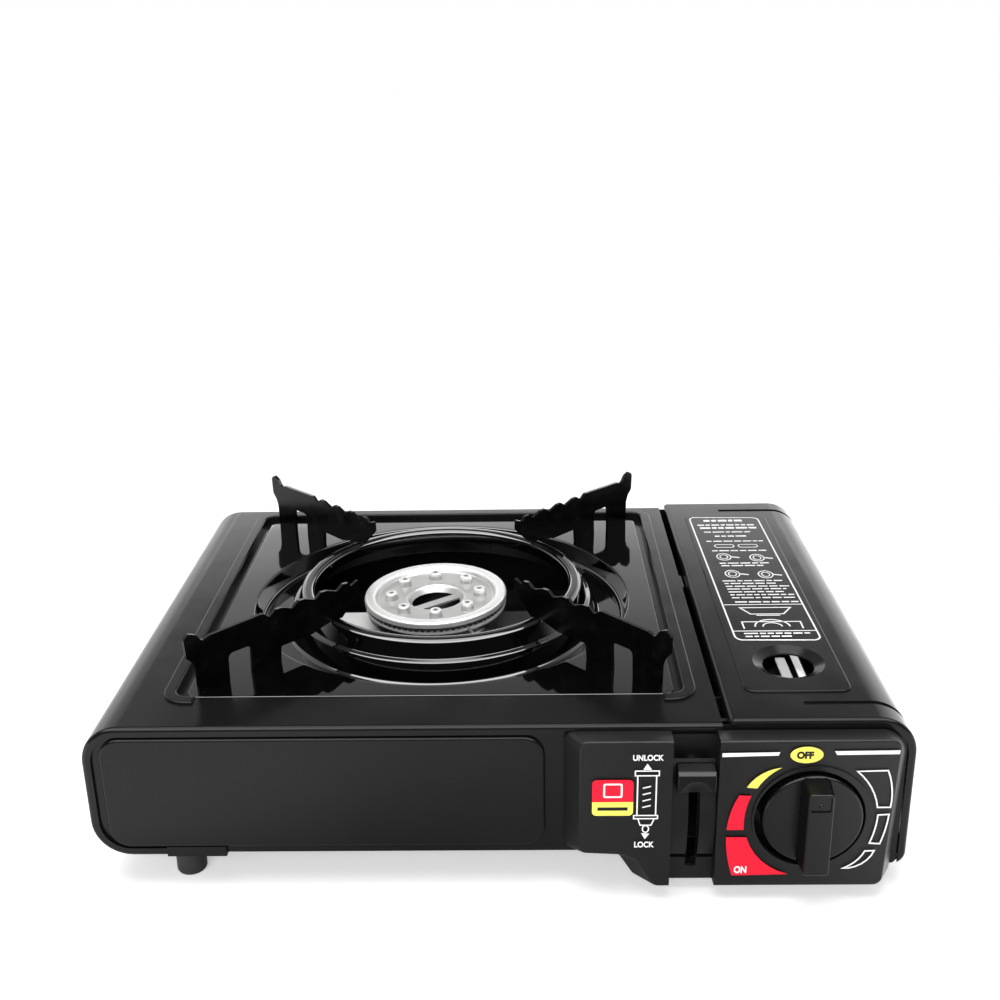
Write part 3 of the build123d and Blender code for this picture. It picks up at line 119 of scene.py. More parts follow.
class StoveSizes(bpy.types.PropertyGroup):
    """Sizes of the pieces modelled here."""

    ink: length("Ink", "How far the printing stands on its face", 0.06)
    pan_sheet: length("Pan sheet", "Sheet thickness of the drip pan", 0.8)
    pan_half_x: length("Pan half width", "Half of the drip pan's width", 104.0)
    pan_half_y: length("Pan half depth", "Half of the drip pan's depth", 101.5)
    pan_corner: length("Pan corner", "Corner radius of the drip pan", 5.0)
    pan_steps: IntProperty(name="Pan steps", description="Steps round the drip pan", default=360)
    spring_turns: IntProperty(
        name="Spring turns", description="Turns of the catch's return spring", default=13
    )
    spring_radius: length("Spring radius", "Middle radius of the return spring", 1.9)
    spring_wire: length("Spring wire", "Wire radius of the return spring", 0.4)


class StoveStage(bpy.types.PropertyGroup):
    """Camera lens and lamp levels of the studio."""

    lens: FloatProperty(name="Lens", description="Focal length of the camera", default=44.78, unit="CAMERA")
    top_power: lamp_power("Top lamp", "Power of the soft lamp overhead", 16.5)
    front_power: lamp_power("Front lamp", "Power of the soft lamp in front", 16.0)
    sight_power: lamp_power("Sight lamp", "Power of the narrow lamp on the notch guide", 85.0)
    fill: FloatProperty(name="Fill", description="Level of the even light from all round", default=0.45)
    mirror: FloatProperty(name="Mirror", description="Level of the studio as shiny faces see it", default=1.0)


# ---------------------------------------------------------------- materials


class Nodes:
    """Short calls for wiring one node tree."""

    def __init__(self, tree):
        self.tree = tree

    def node(self, kind, inputs=(), **settings):
        made = self.tree.nodes.new(kind)
        for key, value in settings.items():
            setattr(made, key, value)
        for key, value in dict(inputs).items():
            if isinstance(value, bpy.types.NodeSocket):
                self.tree.links.new(value, made.inputs[key])
            else:
                made.inputs[key].default_value = value
        return made

    def math(self, operation, first, second=0.0):
        return self.node("ShaderNodeMath", {0: first, 1: second}, operation=operation).outputs[0]

    def remap(self, value, low, high, to_low=0.0, to_high=1.0, smooth=False):
        sockets = {0: value, 1: low, 2: high, 3: to_low, 4: to_high}
        kind = "SMOOTHSTEP" if smooth else "LINEAR"
        return self.node("ShaderNodeMapRange", sockets, interpolation_type=kind).outputs[0]

    def blend(self, factor, first, second):
        """A number that goes from first to second."""
        return self.node("ShaderNodeMix", {0: factor, 2: first, 3: second}).outputs[0]

    def curve(self, value, stops):
        """Straight runs between (position, level) stops."""
        total = stops[0][1]
        for (x0, y0), (x1, y1) in zip(stops, stops[1:]):
            total = self.math("ADD", self.remap(value, x0, x1, 0.0, y1 - y0), total)
        return total


class Paint(Nodes):
    """One material under construction: a Principled shader and the nodes that feed it."""

    def __init__(self, name, base, rough, metal=0.0, **sockets):
        self.material = bpy.data.materials.new(name)
        self.material.use_nodes = True
        super().__init__(self.material.node_tree)
        self.shader = self.tree.nodes["Principled BSDF"]
        self.shader.inputs["Base Color"].default_value = (*base, 1.0)
        self.shader.inputs["Roughness"].default_value = rough
        self.shader.inputs["Metallic"].default_value = metal
        for key, value in sockets.items():
            self.shader.inputs[key.replace("_", " ").title().replace("Ior", "IOR")].default_value = value
        self.place = self.node("ShaderNodeTexCoord").outputs["Object"]
        self.height = None

    def axes(self):
        """X, Y and Z of the place on the piece, in metres."""
        return self.node("ShaderNodeSeparateXYZ", {0: self.place}).outputs

    def noise(self, scale, detail, place=None):
        values = {"Vector": place or self.place, "Scale": scale, "Detail": detail, "Roughness": 0.5}
        return self.node("ShaderNodeTexNoise", values).outputs["Fac"]

    def cells(self, scale):
        """Distance to the nearest of scattered points, for grain and specks."""
        return self.node("ShaderNodeTexVoronoi", {"Vector": self.place, "Scale": scale}).outputs["Distance"]

    def stretched(self, scale):
        """The place with each axis scaled by itself, which draws noise out into lines."""
        return self.node("ShaderNodeMapping", {"Vector": self.place, "Scale": scale}).outputs["Vector"]

    def mixed(self, factor, first, second):
        """A colour that goes from first to second; each is a socket or a plain colour."""
        made = self.node("ShaderNodeMix", {"Factor": factor}, data_type="RGBA")
        for socket, value in ((made.inputs[6], first), (made.inputs[7], second)):
            if isinstance(value, bpy.types.NodeSocket):
                self.tree.links.new(value, socket)
            else:
                socket.default_value = (*value, 1.0)
        return made.outputs[2]

    def base(self, socket):
        self.tree.links.new(socket, self.shader.inputs["Base Color"])

    def rough(self, socket):
        self.tree.links.new(socket, self.shader.inputs["Roughness"])

    def relief(self, height, depth):
        """Bump of the given depth in microns. Each call lies over the ones before."""
        values = {"Height": height, "Distance": depth * MICRON, "Strength": 1.0}
        if self.height is not None:
            values["Normal"] = self.height
        self.height = self.node("ShaderNodeBump", values).outputs["Normal"]
        self.tree.links.new(self.height, self.shader.inputs["Normal"])


def toned(base, factor, lift=0.0):
    """The colour multiplied by factor and raised by lift."""
    return tuple(c * factor + lift for c in base)


def satin_paint(name, base, rough):
    """Sprayed satin paint: orange peel, faint mottling of gloss and tone."""
    paint = Paint(name, base, rough, specular_ior_level=0.07)
    cloud = paint.remap(paint.noise(14.0, 3.0), 0.35, 0.7)
    paint.base(paint.mixed(cloud, base, toned(base, 1.3, 0.0005)))
    paint.rough(paint.remap(paint.noise(60.0, 4.0), 0.3, 0.7, rough - 0.03, rough + 0.04))
    paint.relief(paint.noise(1100.0, 2.0), 1.5)
    paint.relief(paint.noise(150.0, 1.0), 8.0)
    return paint.material


def gloss_enamel(name, base):
    """Fired enamel: deep gloss, slow waves from the firing, a few fine specks."""
    enamel = Paint(name, base, 0.04, ior=1.5)
    specks = enamel.remap(enamel.cells(260.0), 0.02, 0.05, 1.0, 0.0)
    enamel.base(enamel.mixed(specks, base, toned(base, 1.0, 0.004)))
    enamel.rough(enamel.remap(enamel.noise(30.0, 5.0), 0.35, 0.7, 0.03, 0.07))
    enamel.relief(enamel.noise(16.0, 1.0), 120.0)
    enamel.relief(enamel.noise(420.0, 1.0), 2.0)
    return enamel.material


def stamped_enamel(name, base):
    """Black enamel on stamped steel, a little lighter in scattered patches."""
    enamel = Paint(name, base, 0.2, specular_ior_level=0.14)
    wear = enamel.remap(enamel.noise(180.0, 4.0), 0.55, 0.8)
    enamel.base(enamel.mixed(wear, base, toned(base, 1.0, 0.003)))
    enamel.rough(enamel.remap(enamel.noise(90.0, 4.0), 0.3, 0.7, 0.16, 0.28))
    enamel.relief(enamel.noise(350.0, 2.0), 15.0)
    return enamel.material


def grained_plastic(name, base, rough, grain=2600.0, depth=12.0):
    """Moulded plastic with the fine grain of an etched mould, of the given depth in microns."""
    plastic = Paint(name, base, rough, specular_ior_level=0.13)
    plastic.rough(plastic.remap(plastic.noise(45.0, 3.0), 0.3, 0.7, rough - 0.03, rough + 0.03))
    plastic.relief(plastic.cells(grain), depth)
    plastic.relief(plastic.noise(30.0, 1.0), 30.0)
    return plastic.material


def pressed_alloy(name, base, rough, metal=1.0, ramp=None):
    """Light alloy with a fine drawn grain and a soft bloom; ramp changes the tone of a part of it."""
    alloy = Paint(name, base, rough, metal)
    bloom = alloy.remap(alloy.noise(80.0, 5.0), 0.35, 0.7)
    tone = alloy.mixed(bloom, base, toned(base, 0.94))
    if ramp:
        tone = ramp(alloy, tone)
    alloy.base(tone)
    alloy.rough(alloy.remap(alloy.noise(400.0, 3.0), 0.3, 0.7, rough - 0.03, rough + 0.03))
    alloy.relief(alloy.noise(1400.0, 3.0), 1.5)
    return alloy.material


# radius at which the crown's rim starts and height of its posts, in metres
CROWN_RIM = 29.5 * MM
CROWN_POST = 2.2 * MM
RIM_AND_POST_TONE = (0.6, 0.6, 0.595)


def crown_ramp(alloy, tone):
    """The crown's rim and the upper part of its posts are lighter than its floor."""
    low, high = (Vector(corner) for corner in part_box("burner_crown"))
    middle = (low + high) / 2
    axes = alloy.axes()
    flat = alloy.node("ShaderNodeCombineXYZ", {0: axes["X"], 1: axes["Y"]}).outputs[0]
    ends = {0: flat, 1: (middle.x, middle.y, 0.0)}
    reach = alloy.node("ShaderNodeVectorMath", ends, operation="DISTANCE").outputs["Value"]
    rim = alloy.remap(reach, CROWN_RIM, CROWN_RIM + 1.0 * MM)
    foot = high.z - CROWN_POST
    post = alloy.remap(axes["Z"], foot, foot + 0.6 * MM)
    return alloy.mixed(alloy.math("MAXIMUM", rim, post), tone, RIM_AND_POST_TONE)


# the strap is painted darker, as painted shade, between these distances right of its middle, in metres
STRAP_BRIGHT = 5.0 * MM
STRAP_SHADED = 30.0 * MM
STRAP_SHADE_TONE = (0.012, 0.012, 0.012)


def strap_shade_ramp(alloy, tone):
    """The strap's far end is painted dark: painted shade."""
    low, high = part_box("burner_strap")
    middle = (low[0] + high[0]) / 2
    burnt = alloy.remap(alloy.axes()["X"], middle + STRAP_BRIGHT, middle + STRAP_SHADED, smooth=True)
    return alloy.mixed(burnt, tone, STRAP_SHADE_TONE)


def coated_sheet(name, base):
    """Dark phosphate-coated sheet with faint crystal spangle and rolling lines."""
    sheet = Paint(name, base, 0.5)
    spangle = sheet.node("ShaderNodeTexVoronoi", {"Vector": sheet.place, "Scale": 130.0}).outputs["Color"]
    grey = sheet.node("ShaderNodeRGBToBW", {"Color": spangle}).outputs["Val"]
    sheet.base(sheet.mixed(grey, base, toned(base, 0.6)))
    sheet.rough(sheet.remap(grey, 0.0, 1.0, 0.42, 0.56))
    sheet.relief(sheet.noise(1.0, 3.0, sheet.stretched((40.0, 2200.0, 2200.0))), 6.0)
    return sheet.material


def brushed_metal(name, base, rough, along=(60.0, 2400.0, 2400.0)):
    """Brushed or drawn metal; its lines run along the axis with the smallest scale."""
    metal = Paint(name, base, rough, metal=1.0)
    lines = metal.noise(1.0, 4.0, metal.stretched(along))
    metal.base(metal.mixed(metal.remap(lines, 0.3, 0.75), base, toned(base, 0.8)))
    metal.rough(metal.remap(lines, 0.3, 0.7, rough - 0.05, rough + 0.08))
    metal.relief(lines, 6.0)
    return metal.material


def cast_metal(name, base, rough, grain=500.0, depth=60.0, metallic=1.0):
    """Cast or heat-blackened metal with a sandy skin of the given depth in microns."""
    metal = Paint(name, base, rough, metal=metallic)
    metal.base(metal.mixed(metal.noise(60.0, 5.0), base, toned(base, 0.65)))
    metal.rough(metal.remap(metal.noise(200.0, 3.0), 0.3, 0.7, rough - 0.08, rough + 0.1))
    metal.relief(metal.noise(grain, 4.0), depth)
    return metal.material


# height of the burner bowl's flange above the floor, in metres, and the light tone painted on it as a painted
# highlight
BOWL_FLANGE = 69.8 * MM
FLANGE_HIGHLIGHT_TONE = (0.55, 0.55, 0.54)


def burner_bowl_metal(name, base, rough):
    """Heat-blackened bowl whose upper flange is painted light: a painted highlight."""
    metal = Paint(name, base, rough)
    bright = metal.remap(metal.axes()["Z"], BOWL_FLANGE, BOWL_FLANGE + 0.5 * MM)
    soot = metal.mixed(metal.noise(60.0, 5.0), base, toned(base, 0.6))
    metal.base(metal.mixed(bright, soot, FLANGE_HIGHLIGHT_TONE))
    metal.rough(metal.remap(metal.noise(200.0, 3.0), 0.3, 0.7, rough - 0.08, rough + 0.1))
    metal.relief(metal.noise(400.0, 4.0), 20.0)
    return metal.material


def soft_rubber(name, base):
    """Dull moulded rubber, dusty in places."""
    rubber = Paint(name, base, 0.62, specular_ior_level=0.35)
    rubber.base(rubber.mixed(rubber.noise(70.0, 4.0), base, toned(base, 1.8)))
    rubber.relief(rubber.noise(1300.0, 3.0), 30.0)
    return rubber.material


def glazed_ceramic(name, base):
    """Glazed ceramic with a few stains from the heat."""
    glaze = Paint(name, base, 0.18, coat_weight=0.6, coat_roughness=0.05)
    stains = glaze.remap(glaze.noise(220.0, 5.0), 0.5, 0.8)
    glaze.base(glaze.mixed(stains, base, (0.62, 0.57, 0.48)))
    glaze.relief(glaze.noise(250.0, 2.0), 20.0)
    return glaze.material


def screen_ink(name, base):
    """Screen-printed ink: matt, very slightly uneven."""
    ink = Paint(name, base, 0.5, specular_ior_level=0.1)
    ink.base(ink.mixed(ink.remap(ink.noise(900.0, 3.0), 0.35, 0.75), base, toned(base, 0.95)))
    ink.relief(ink.noise(2500.0, 2.0), 4.0)
    return ink.material


FINISHES = {}


def build_finishes(c):
    """Mixes every finish once, from the colours c, under the short name that the pieces use."""
    FINISHES.update(
        paint=satin_paint("satin_charcoal_paint", c.paint, 0.17),
        enamel=gloss_enamel("gloss_black_enamel", c.enamel),
        support=stamped_enamel("support_enamel", c.support),
        fascia=grained_plastic("grained_fascia_plastic", c.fascia, 0.4),
        knob=grained_plastic("smooth_knob_plastic", c.knob, 0.28, 3200.0, 5.0),
        dark_plastic=grained_plastic("igniter_plastic", (0.02, 0.02, 0.021), 0.4),
        crown=pressed_alloy("pressed_alloy", c.crown, 0.34, 0.4, crown_ramp),
        alloy=pressed_alloy("drawn_alloy", (0.62, 0.62, 0.62), 0.34),
        iron=cast_metal("blackened_port_ring", c.iron, 0.42, metallic=0.0),
        bowl=burner_bowl_metal("blackened_bowl", (0.02, 0.02, 0.02), 0.34),
        grip=grained_plastic("polished_grip_plastic", (0.0025, 0.0025, 0.0026), 0.2, 3200.0, 3.0),
        # a darker copy of the fascia plastic for the lever's slot plate: painted shade in the lever recess
        shade=grained_plastic("recess_plastic_painted_shade", (0.004, 0.004, 0.0042), 0.36),
        diecast=cast_metal("die_cast_alloy", (0.3, 0.3, 0.3), 0.46, 260.0, 50.0),
        zinc=coated_sheet("coated_sheet", c.zinc),
        steel=brushed_metal("bright_steel", (0.66, 0.66, 0.65), 0.3),
        strap=pressed_alloy("bright_strap", (0.9, 0.9, 0.89), 0.38, 0.2),
        # strap under the burner, its far end painted dark as painted shade
        burnt_strap=pressed_alloy("strap_painted_shade", (0.86, 0.86, 0.85), 0.38, 0.2, strap_shade_ramp),
        brass=brushed_metal("turned_brass", (0.75, 0.56, 0.25), 0.24, (2400.0, 60.0, 2400.0)),
        ceramic=glazed_ceramic("glazed_ceramic", (0.86, 0.84, 0.78)),
        rubber=soft_rubber("moulded_rubber", (0.01, 0.01, 0.01)),
        silicone=soft_rubber("silicone_lead", (0.03, 0.03, 0.03)),
        white=screen_ink("white_ink", c.white_ink),
        red=screen_ink("red_ink", c.red_ink),
        yellow=screen_ink("yellow_ink", c.yellow_ink),
        black=screen_ink("black_ink", (0.012, 0.012, 0.012)),
    )


# ---------------------------------------------------------------- mesh helpers


def dress(obj, finish, body, *nodes):
    """Gives a new piece its finish, its body and the nodes it stands for."""
    obj.data.materials.clear()
    obj.data.materials.append(FINISHES[finish])
    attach(obj, body)
    if nodes:
        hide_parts(*nodes)
    return obj


def object_from(bm, name, smooth_angle=None):
    """A new object that holds the bmesh, smooth-shaded where an angle is given."""
    mesh = bpy.data.meshes.new(name)
    bm.to_mesh(mesh)
    bm.free()
    obj = bpy.data.objects.new(name, mesh)
    bpy.context.scene.collection.objects.link(obj)
    if smooth_angle is not None:
        smooth(mesh, smooth_angle)
    return obj


def smooth(mesh, angle):
    """Smooth shading, with the edges sharper than the angle kept sharp."""
    mesh.shade_smooth()
    mesh.set_sharp_from_angle(angle=math.radians(angle))


def round_edges(obj, width, segments=2, angle=38.0):
    """Rounds the piece's edges over the given width in millimetres."""
    bevel = obj.modifiers.new("edges", "BEVEL")
    bevel.width = width * MM
    bevel.segments = segments
    bevel.limit_method = "ANGLE"
    bevel.angle_limit = math.radians(angle)
    bevel.use_clamp_overlap = True


def even_normals(obj):
    """Lets the large flat faces rule the shading of the small ones beside them."""
    normals = obj.modifiers.new("normals", "WEIGHTED_NORMAL")
    normals.mode = "FACE_AREA"
    normals.weight = 50
    normals.keep_sharp = True


def refined(node, finish, edge, angle=30.0):
    """A copy of a node's mesh: doubles merged, smooth faces, and its edges rounded by edge millimetres."""
    bm = bmesh.new()
    bm.from_mesh(frame["nodes"][node].data)
    bmesh.ops.remove_doubles(bm, verts=bm.verts[:], dist=2 * MICRON)
    bmesh.ops.dissolve_degenerate(bm, edges=bm.edges[:], dist=MICRON)
    bmesh.ops.recalc_face_normals(bm, faces=bm.faces[:])
    obj = object_from(bm, node + "_finish")
    # normals stored with the mesh would hold its old shading
    if "custom_normal" in obj.data.attributes:
        obj.data.attributes.remove(obj.data.attributes["custom_normal"])
    smooth(obj.data, angle)
    if edge:
        round_edges(obj, edge)
    even_normals(obj)
    return dress(obj, finish, frame["nodes"][node]["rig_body"], node)


def paint_node(node, finish):
    """Keeps the node's own mesh and puts the finish on it."""
    data = frame["nodes"][node].data
    data.materials.clear()
    data.materials.append(FINISHES[finish])


def eased(points, radii, steps=5):
    """A path of (radius, height) points with its inner corners rounded, in millimetres."""
    points = [Vector((x, 0.0, z)) for x, z in points]
    path = [points[0]]
    for before, corner, after, radius in zip(points, points[1:], points[2:], radii):
        if not radius:
            path.append(corner)
            continue
        back = (before - corner).normalized()
        on = (after - corner).normalized()
        half = back.angle(on) / 2
        centre = corner + (back + on).normalized() * (radius / math.sin(half))
        start = (corner + back * (radius / math.tan(half)) - centre).normalized()
        end = (corner + on * (radius / math.tan(half)) - centre).normalized()
        path += [centre + start.slerp(end, k / steps) * radius for k in range(steps + 1)]
    return path + [points[-1]]


def ring(cx, cz, rx, rz=None, count=48, start=0.0, sweep=360.0):
    """Points on an oval, or on an arc of it; start and sweep are in degrees."""
    rz = rx if rz is None else rz
    closed = abs(sweep) >= 360.0
    angles = [math.radians(start + sweep * k / (count if closed else count - 1)) for k in range(count)]
    return [(cx + rx * math.cos(a), cz + rz * math.sin(a)) for a in angles]


def bow(start, crest, end, count=7):
    """Points on the arc from start to end that passes through crest."""
    start, crest, end = Vector(start), Vector(crest), Vector(end)
    near, far = crest - start, end - start
    lean = near.x * far.y - near.y * far.x
    across = Vector((
        far.y * near.length_squared - near.y * far.length_squared,
        near.x * far.length_squared - far.x * near.length_squared,
    ))
    centre = start + across / (2 * lean)
    first, last = (math.degrees(math.atan2(p.y - centre.y, p.x - centre.x)) for p in (start, end))
    sweep = (last - first) % 360.0 if lean > 0 else -((first - last) % 360.0)
    return ring(centre.x, centre.y, (start - centre).length, count=count, start=first, sweep=sweep)


def round_box(x0, x1, z0, z1, radius, count=6):
    """Points round a box with rounded corners."""
    corners = [(x1, z1, 0.0), (x0, z1, 90.0), (x0, z0, 180.0), (x1, z0, 270.0)]
    points = []
    for x, z, turn in corners:
        cx = x - radius if x == x1 else x + radius
        cz = z - radius if z == z1 else z + radius
        points += ring(cx, cz, radius, count=count, start=turn, sweep=90.0)
    return points


def square_edge(angle, half_x, half_y, corner):
    """Where a ray from the middle meets the outline of a box with rounded corners."""
    c, s = math.cos(angle), math.sin(angle)
    reach = min(half_x / max(abs(c), 1e-9), half_y / max(abs(s), 1e-9))
    cx, cy = half_x - corner, half_y - corner
    if reach * abs(c) > cx and reach * abs(s) > cy:
        along = abs(c) * cx + abs(s) * cy
        reach = along + math.sqrt(along ** 2 - (cx ** 2 + cy ** 2 - corner ** 2))
    return reach * c, reach * s


# the corners of a printed line reach no wider than its width divided by this
MITRE = 0.5
# the ink's thickness as a multiple of how far it stands out, so that it is rooted in its face
INK_ROOT = 1.6


class Print:
    """Ink shapes drawn in millimetres on one flat face."""

    def __init__(self, origin, right, up, ink):
        self.right = Vector(right)
        self.up = Vector(up)
        self.out = self.right.cross(self.up)
        self.origin = Vector(origin) + self.out * ink
        self.ink = ink
        self.bm = bmesh.new()

    def vert(self, x, z):
        return self.bm.verts.new((self.origin + self.right * x + self.up * z) * MM)

    def area(self, points):
        self.bm.faces.new([self.vert(x, z) for x, z in points])

    def stroke(self, points, width, closed=False):
        """A line of even width along the points."""
        points = [Vector(p) for p in points]
        sides = []
        for k, here in enumerate(points):
            before = points[k - 1] if k or closed else here
            after = points[(k + 1) % len(points)] if k + 1 < len(points) or closed else here
            first = (here - before).normalized() if here != before else (after - here).normalized()
            second = (after - here).normalized() if after != here else first
            across = Vector((-first.y - second.y, first.x + second.x)).normalized()
            half = width / 2 / max(MITRE, across.dot(Vector((-first.y, first.x))))
            sides.append((self.vert(*(here + across * half)), self.vert(*(here - across * half))))
        pairs = list(zip(sides, sides[1:] + sides[:1] if closed else sides[1:]))
        for (a, b), (c, d) in pairs:
            self.bm.faces.new((a, c, d, b))

    def drawing(self, rows):
        """Lines given as points, width, and whether the line closes."""
        for points, width, closed in rows:
            self.stroke(points, width, closed)

    def words(self, text, x0, x1, z0, z1, weight):
        """Plain words fitted to a box, their strokes thickened by weight."""
        curve = bpy.data.curves.new("words", "FONT")
        curve.body = text
        curve.offset = weight
        maker = bpy.data.objects.new("words", curve)
        bpy.context.scene.collection.objects.link(maker)
        bpy.context.view_layer.update()
        mesh = bpy.data.meshes.new_from_object(maker.evaluated_get(bpy.context.evaluated_depsgraph_get()))
        places = [v.co.copy() for v in mesh.vertices]
        low_x, high_x = min(p.x for p in places), max(p.x for p in places)
        low_y, high_y = min(p.y for p in places), max(p.y for p in places)
        verts = []
        for p in places:
            x = x0 + (x1 - x0) * (p.x - low_x) / (high_x - low_x)
            z = z0 + (z1 - z0) * (p.y - low_y) / (high_y - low_y)
            verts.append(self.vert(x, z))
        for face in mesh.polygons:
            self.bm.faces.new([verts[k] for k in face.vertices])
        bpy.data.objects.remove(maker)
        bpy.data.curves.remove(curve)
        bpy.data.meshes.remove(mesh)

    def made(self, name, finish, body):
        """The drawn shapes as one piece with the ink's thickness."""
        bm = self.bm
        bm.normal_update()
        for face in bm.faces:
            if face.normal.dot(self.out) < 0:
                face.normal_flip()
        top = bm.faces[:]
        made = bmesh.ops.extrude_face_region(bm, geom=top)
        moved = [g for g in made["geom"] if isinstance(g, bmesh.types.BMVert)]
        bmesh.ops.translate(bm, verts=moved, vec=-self.out * self.ink * INK_ROOT * MM)
        bmesh.ops.triangulate(bm, faces=[f for f in bm.faces if len(f.verts) > 4])
        bmesh.ops.recalc_face_normals(bm, faces=bm.faces[:])
        return dress(object_from(bm, name), finish, body)


# ---------------------------------------------------------------- operators


class STOVE_OT_finishes(bpy.types.Operator):
    """Mixes the paints, enamels, metals and inks."""

    bl_idname = "stove.finishes"
    bl_label = "Mix finishes"

    def execute(self, context):
        build_finishes(context.scene.stove_finishes)
        return {"FINISHED"}


# nodes that keep their own mesh, under the finish that each takes
CARRIED = {
    "zinc": [
        "base_tray", "cartridge_tray", "partition_wall", "catch_slide", "catch_studs",
        "regulator_bracket", "cover_catch",
    ],
    "iron": ["electrode_pin"],
    "alloy": ["mixing_tube", "gas_pipe"],
    "steel": [
        "burner_stand", "electrode_bracket", "lever_pivot_pin", "lever_bracket", "cover_hinge_pins",
        "foot_screws", "rear_screws",
    ],
    "brass": ["gas_jet", "knob_shaft"],
    "diecast": ["inlet_socket", "regulator_body", "regulator_diaphragm"],
    "ceramic": ["electrode_ceramic"],
    "silicone": ["ignition_lead"],
    "dark_plastic": ["piezo_igniter", "trip_cam"],
    "support": ["support_rivets"],
}

# node: finish, width of the rounded edges in millimetres, and where it isn't the usual one, the angle in
# degrees past which an edge is shaded sharp
REFINED = {
    "outer_shell": ("paint", 0.0),
    "front_panel": ("paint", 0.0),
    "rear_panel": ("paint", 0.0),
    "cartridge_cover": ("paint", 0.0, 11.0),
    **{f"pan_support_{k}": ("support", 0.3) for k in range(1, 5)},
    "burner_crown": ("crown", 0.0),
    "burner_port_ring": ("iron", 0.1),
    "burner_bowl": ("bowl", 0.0),
    "burner_strap": ("burnt_strap", 0.2),
    "notch_guide": ("strap", 0.2),
    "lock_lever": ("steel", 0.2),
    "control_fascia": ("fascia", 0.3),
    "lever_slot_plate": ("shade", 0.0),
    "knob": ("knob", 0.25),
    "lever_grip": ("grip", 0.25),
    **{f"foot_{end}_{side}": ("rubber", 0.3) for side in ("left", "right") for end in ("front", "rear")},
}


class STOVE_OT_carried(bpy.types.Operator):
    """Puts finishes on the pieces whose own shape is right, and refines the edges of those that show."""

    bl_idname = "stove.carried"
    bl_label = "Dress carried pieces"

    def execute(self, context):
        for finish, nodes in CARRIED.items():
            for node in nodes:
                paint_node(node, finish)
        for node, settings in REFINED.items():
            refined(node, *settings)
        return {"FINISHED"}


# the pan's section in millimetres, (radius, height) from the collar's foot out to the flange, and the
# radius of each corner between its ends
PAN_PATH = [
    (62.4, 79.0), (62.9, 85.0), (68.3, 85.0), (71.3, 77.1), (73.3, 76.4),
    (76.5, 66.5), (90.0, 66.5), (92.5, 75.7), (94.6, 75.7), (96.5, 75.7),
]
PAN_RADII = [2.2, 2.2, 0.9, 0.9, 3.0, 3.0, 0.5, 0.0]
# width of the strip inside the flange's edge, and of its rounding, in millimetres
PAN_STRIP = 1.2
PAN_EDGE = 0.38


class STOVE_OT_pan(bpy.types.Operator):
    """Drip pan: round well and collar spun from one line, square flange drawn out from it."""

    bl_idname = "stove.pan"
    bl_label = "Build drip pan"

    def execute(self, context):
        sizes = context.scene.stove_sizes
        low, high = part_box("drip_pan")
        middle = Vector(((low[0] + high[0]) / 2, (low[1] + high[1]) / 2, 0.0))
        bm = bmesh.new()
        line = [bm.verts.new(p * MM) for p in eased(PAN_PATH, PAN_RADII)]
        edges = [bm.edges.new(pair) for pair in zip(line, line[1:])]
        bmesh.ops.spin(
            bm, geom=line + edges, cent=(0, 0, 0), axis=(0, 0, 1), dvec=(0, 0, 0),
            angle=math.tau, steps=sizes.pan_steps, use_merge=True,
        )
        outer = PAN_PATH[-1][0] * MM
        rim = [
            e for e in bm.edges
            if e.is_boundary and min(v.co.xy.length for v in e.verts) > outer - 0.1 * MM
        ]
        for inset in (PAN_STRIP, 0.0):
            drawn = bmesh.ops.extrude_edge_only(bm, edges=rim)["geom"]
            rim = [g for g in drawn if isinstance(g, bmesh.types.BMEdge)]
            for vert in [g for g in drawn if isinstance(g, bmesh.types.BMVert)]:
                angle = math.atan2(vert.co.y, vert.co.x)
                corner = sizes.pan_corner - inset
                x, y = square_edge(angle, sizes.pan_half_x - inset, sizes.pan_half_y - inset, corner)
                vert.co.x, vert.co.y = x * MM, y * MM
        bmesh.ops.remove_doubles(bm, verts=bm.verts[:], dist=MICRON)
        bmesh.ops.recalc_face_normals(bm, faces=bm.faces[:])
        bmesh.ops.translate(bm, verts=bm.verts[:], vec=middle)
        pan = object_from(bm, "drip_pan_enamel", 35.0)
        wall = pan.modifiers.new("sheet", "SOLIDIFY")
        wall.thickness = sizes.pan_sheet * MM
        wall.offset = 0.0
        wall.use_even_offset = True
        round_edges(pan, PAN_EDGE, segments=4, angle=60.0)
        even_normals(pan)
        dress(pan, "enamel", "drip_pan_set", "drip_pan")
        return {"FINISHED"}


# sides of the spring's wire, and steps in a turn
WIRE_SIDES = 8
TURN_STEPS = 24


class STOVE_OT_spring(bpy.types.Operator):
    """Return spring of the cartridge catch."""

    bl_idname = "stove.spring"
    bl_label = "Build catch spring"

    def execute(self, context):
        sizes = context.scene.stove_sizes
        low, high = (Vector(corner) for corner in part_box("catch_spring"))
        centre = (low + high) / 2
        wire = sizes.spring_wire * MM
        start = Vector((centre.x + sizes.spring_radius * MM, low.y + wire, centre.z))
        steps = sizes.spring_turns * TURN_STEPS
        bm = bmesh.new()
        bmesh.ops.create_circle(
            bm, cap_ends=True, segments=WIRE_SIDES, radius=wire, matrix=Matrix.Translation(start)
        )
        bmesh.ops.spin(
            bm, geom=bm.verts[:] + bm.edges[:] + bm.faces[:], cent=centre, axis=(0, -1, 0),
            dvec=(0, (high.y - low.y - 2 * wire) / steps, 0),
            angle=math.tau * sizes.spring_turns, steps=steps,
        )
        bmesh.ops.recalc_face_normals(bm, faces=bm.faces[:])
        spring = object_from(bm, "catch_return_spring", 60.0)
        dress(spring, "steel", "housing", "catch_spring")
        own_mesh(spring)
        return {"FINISHED"}


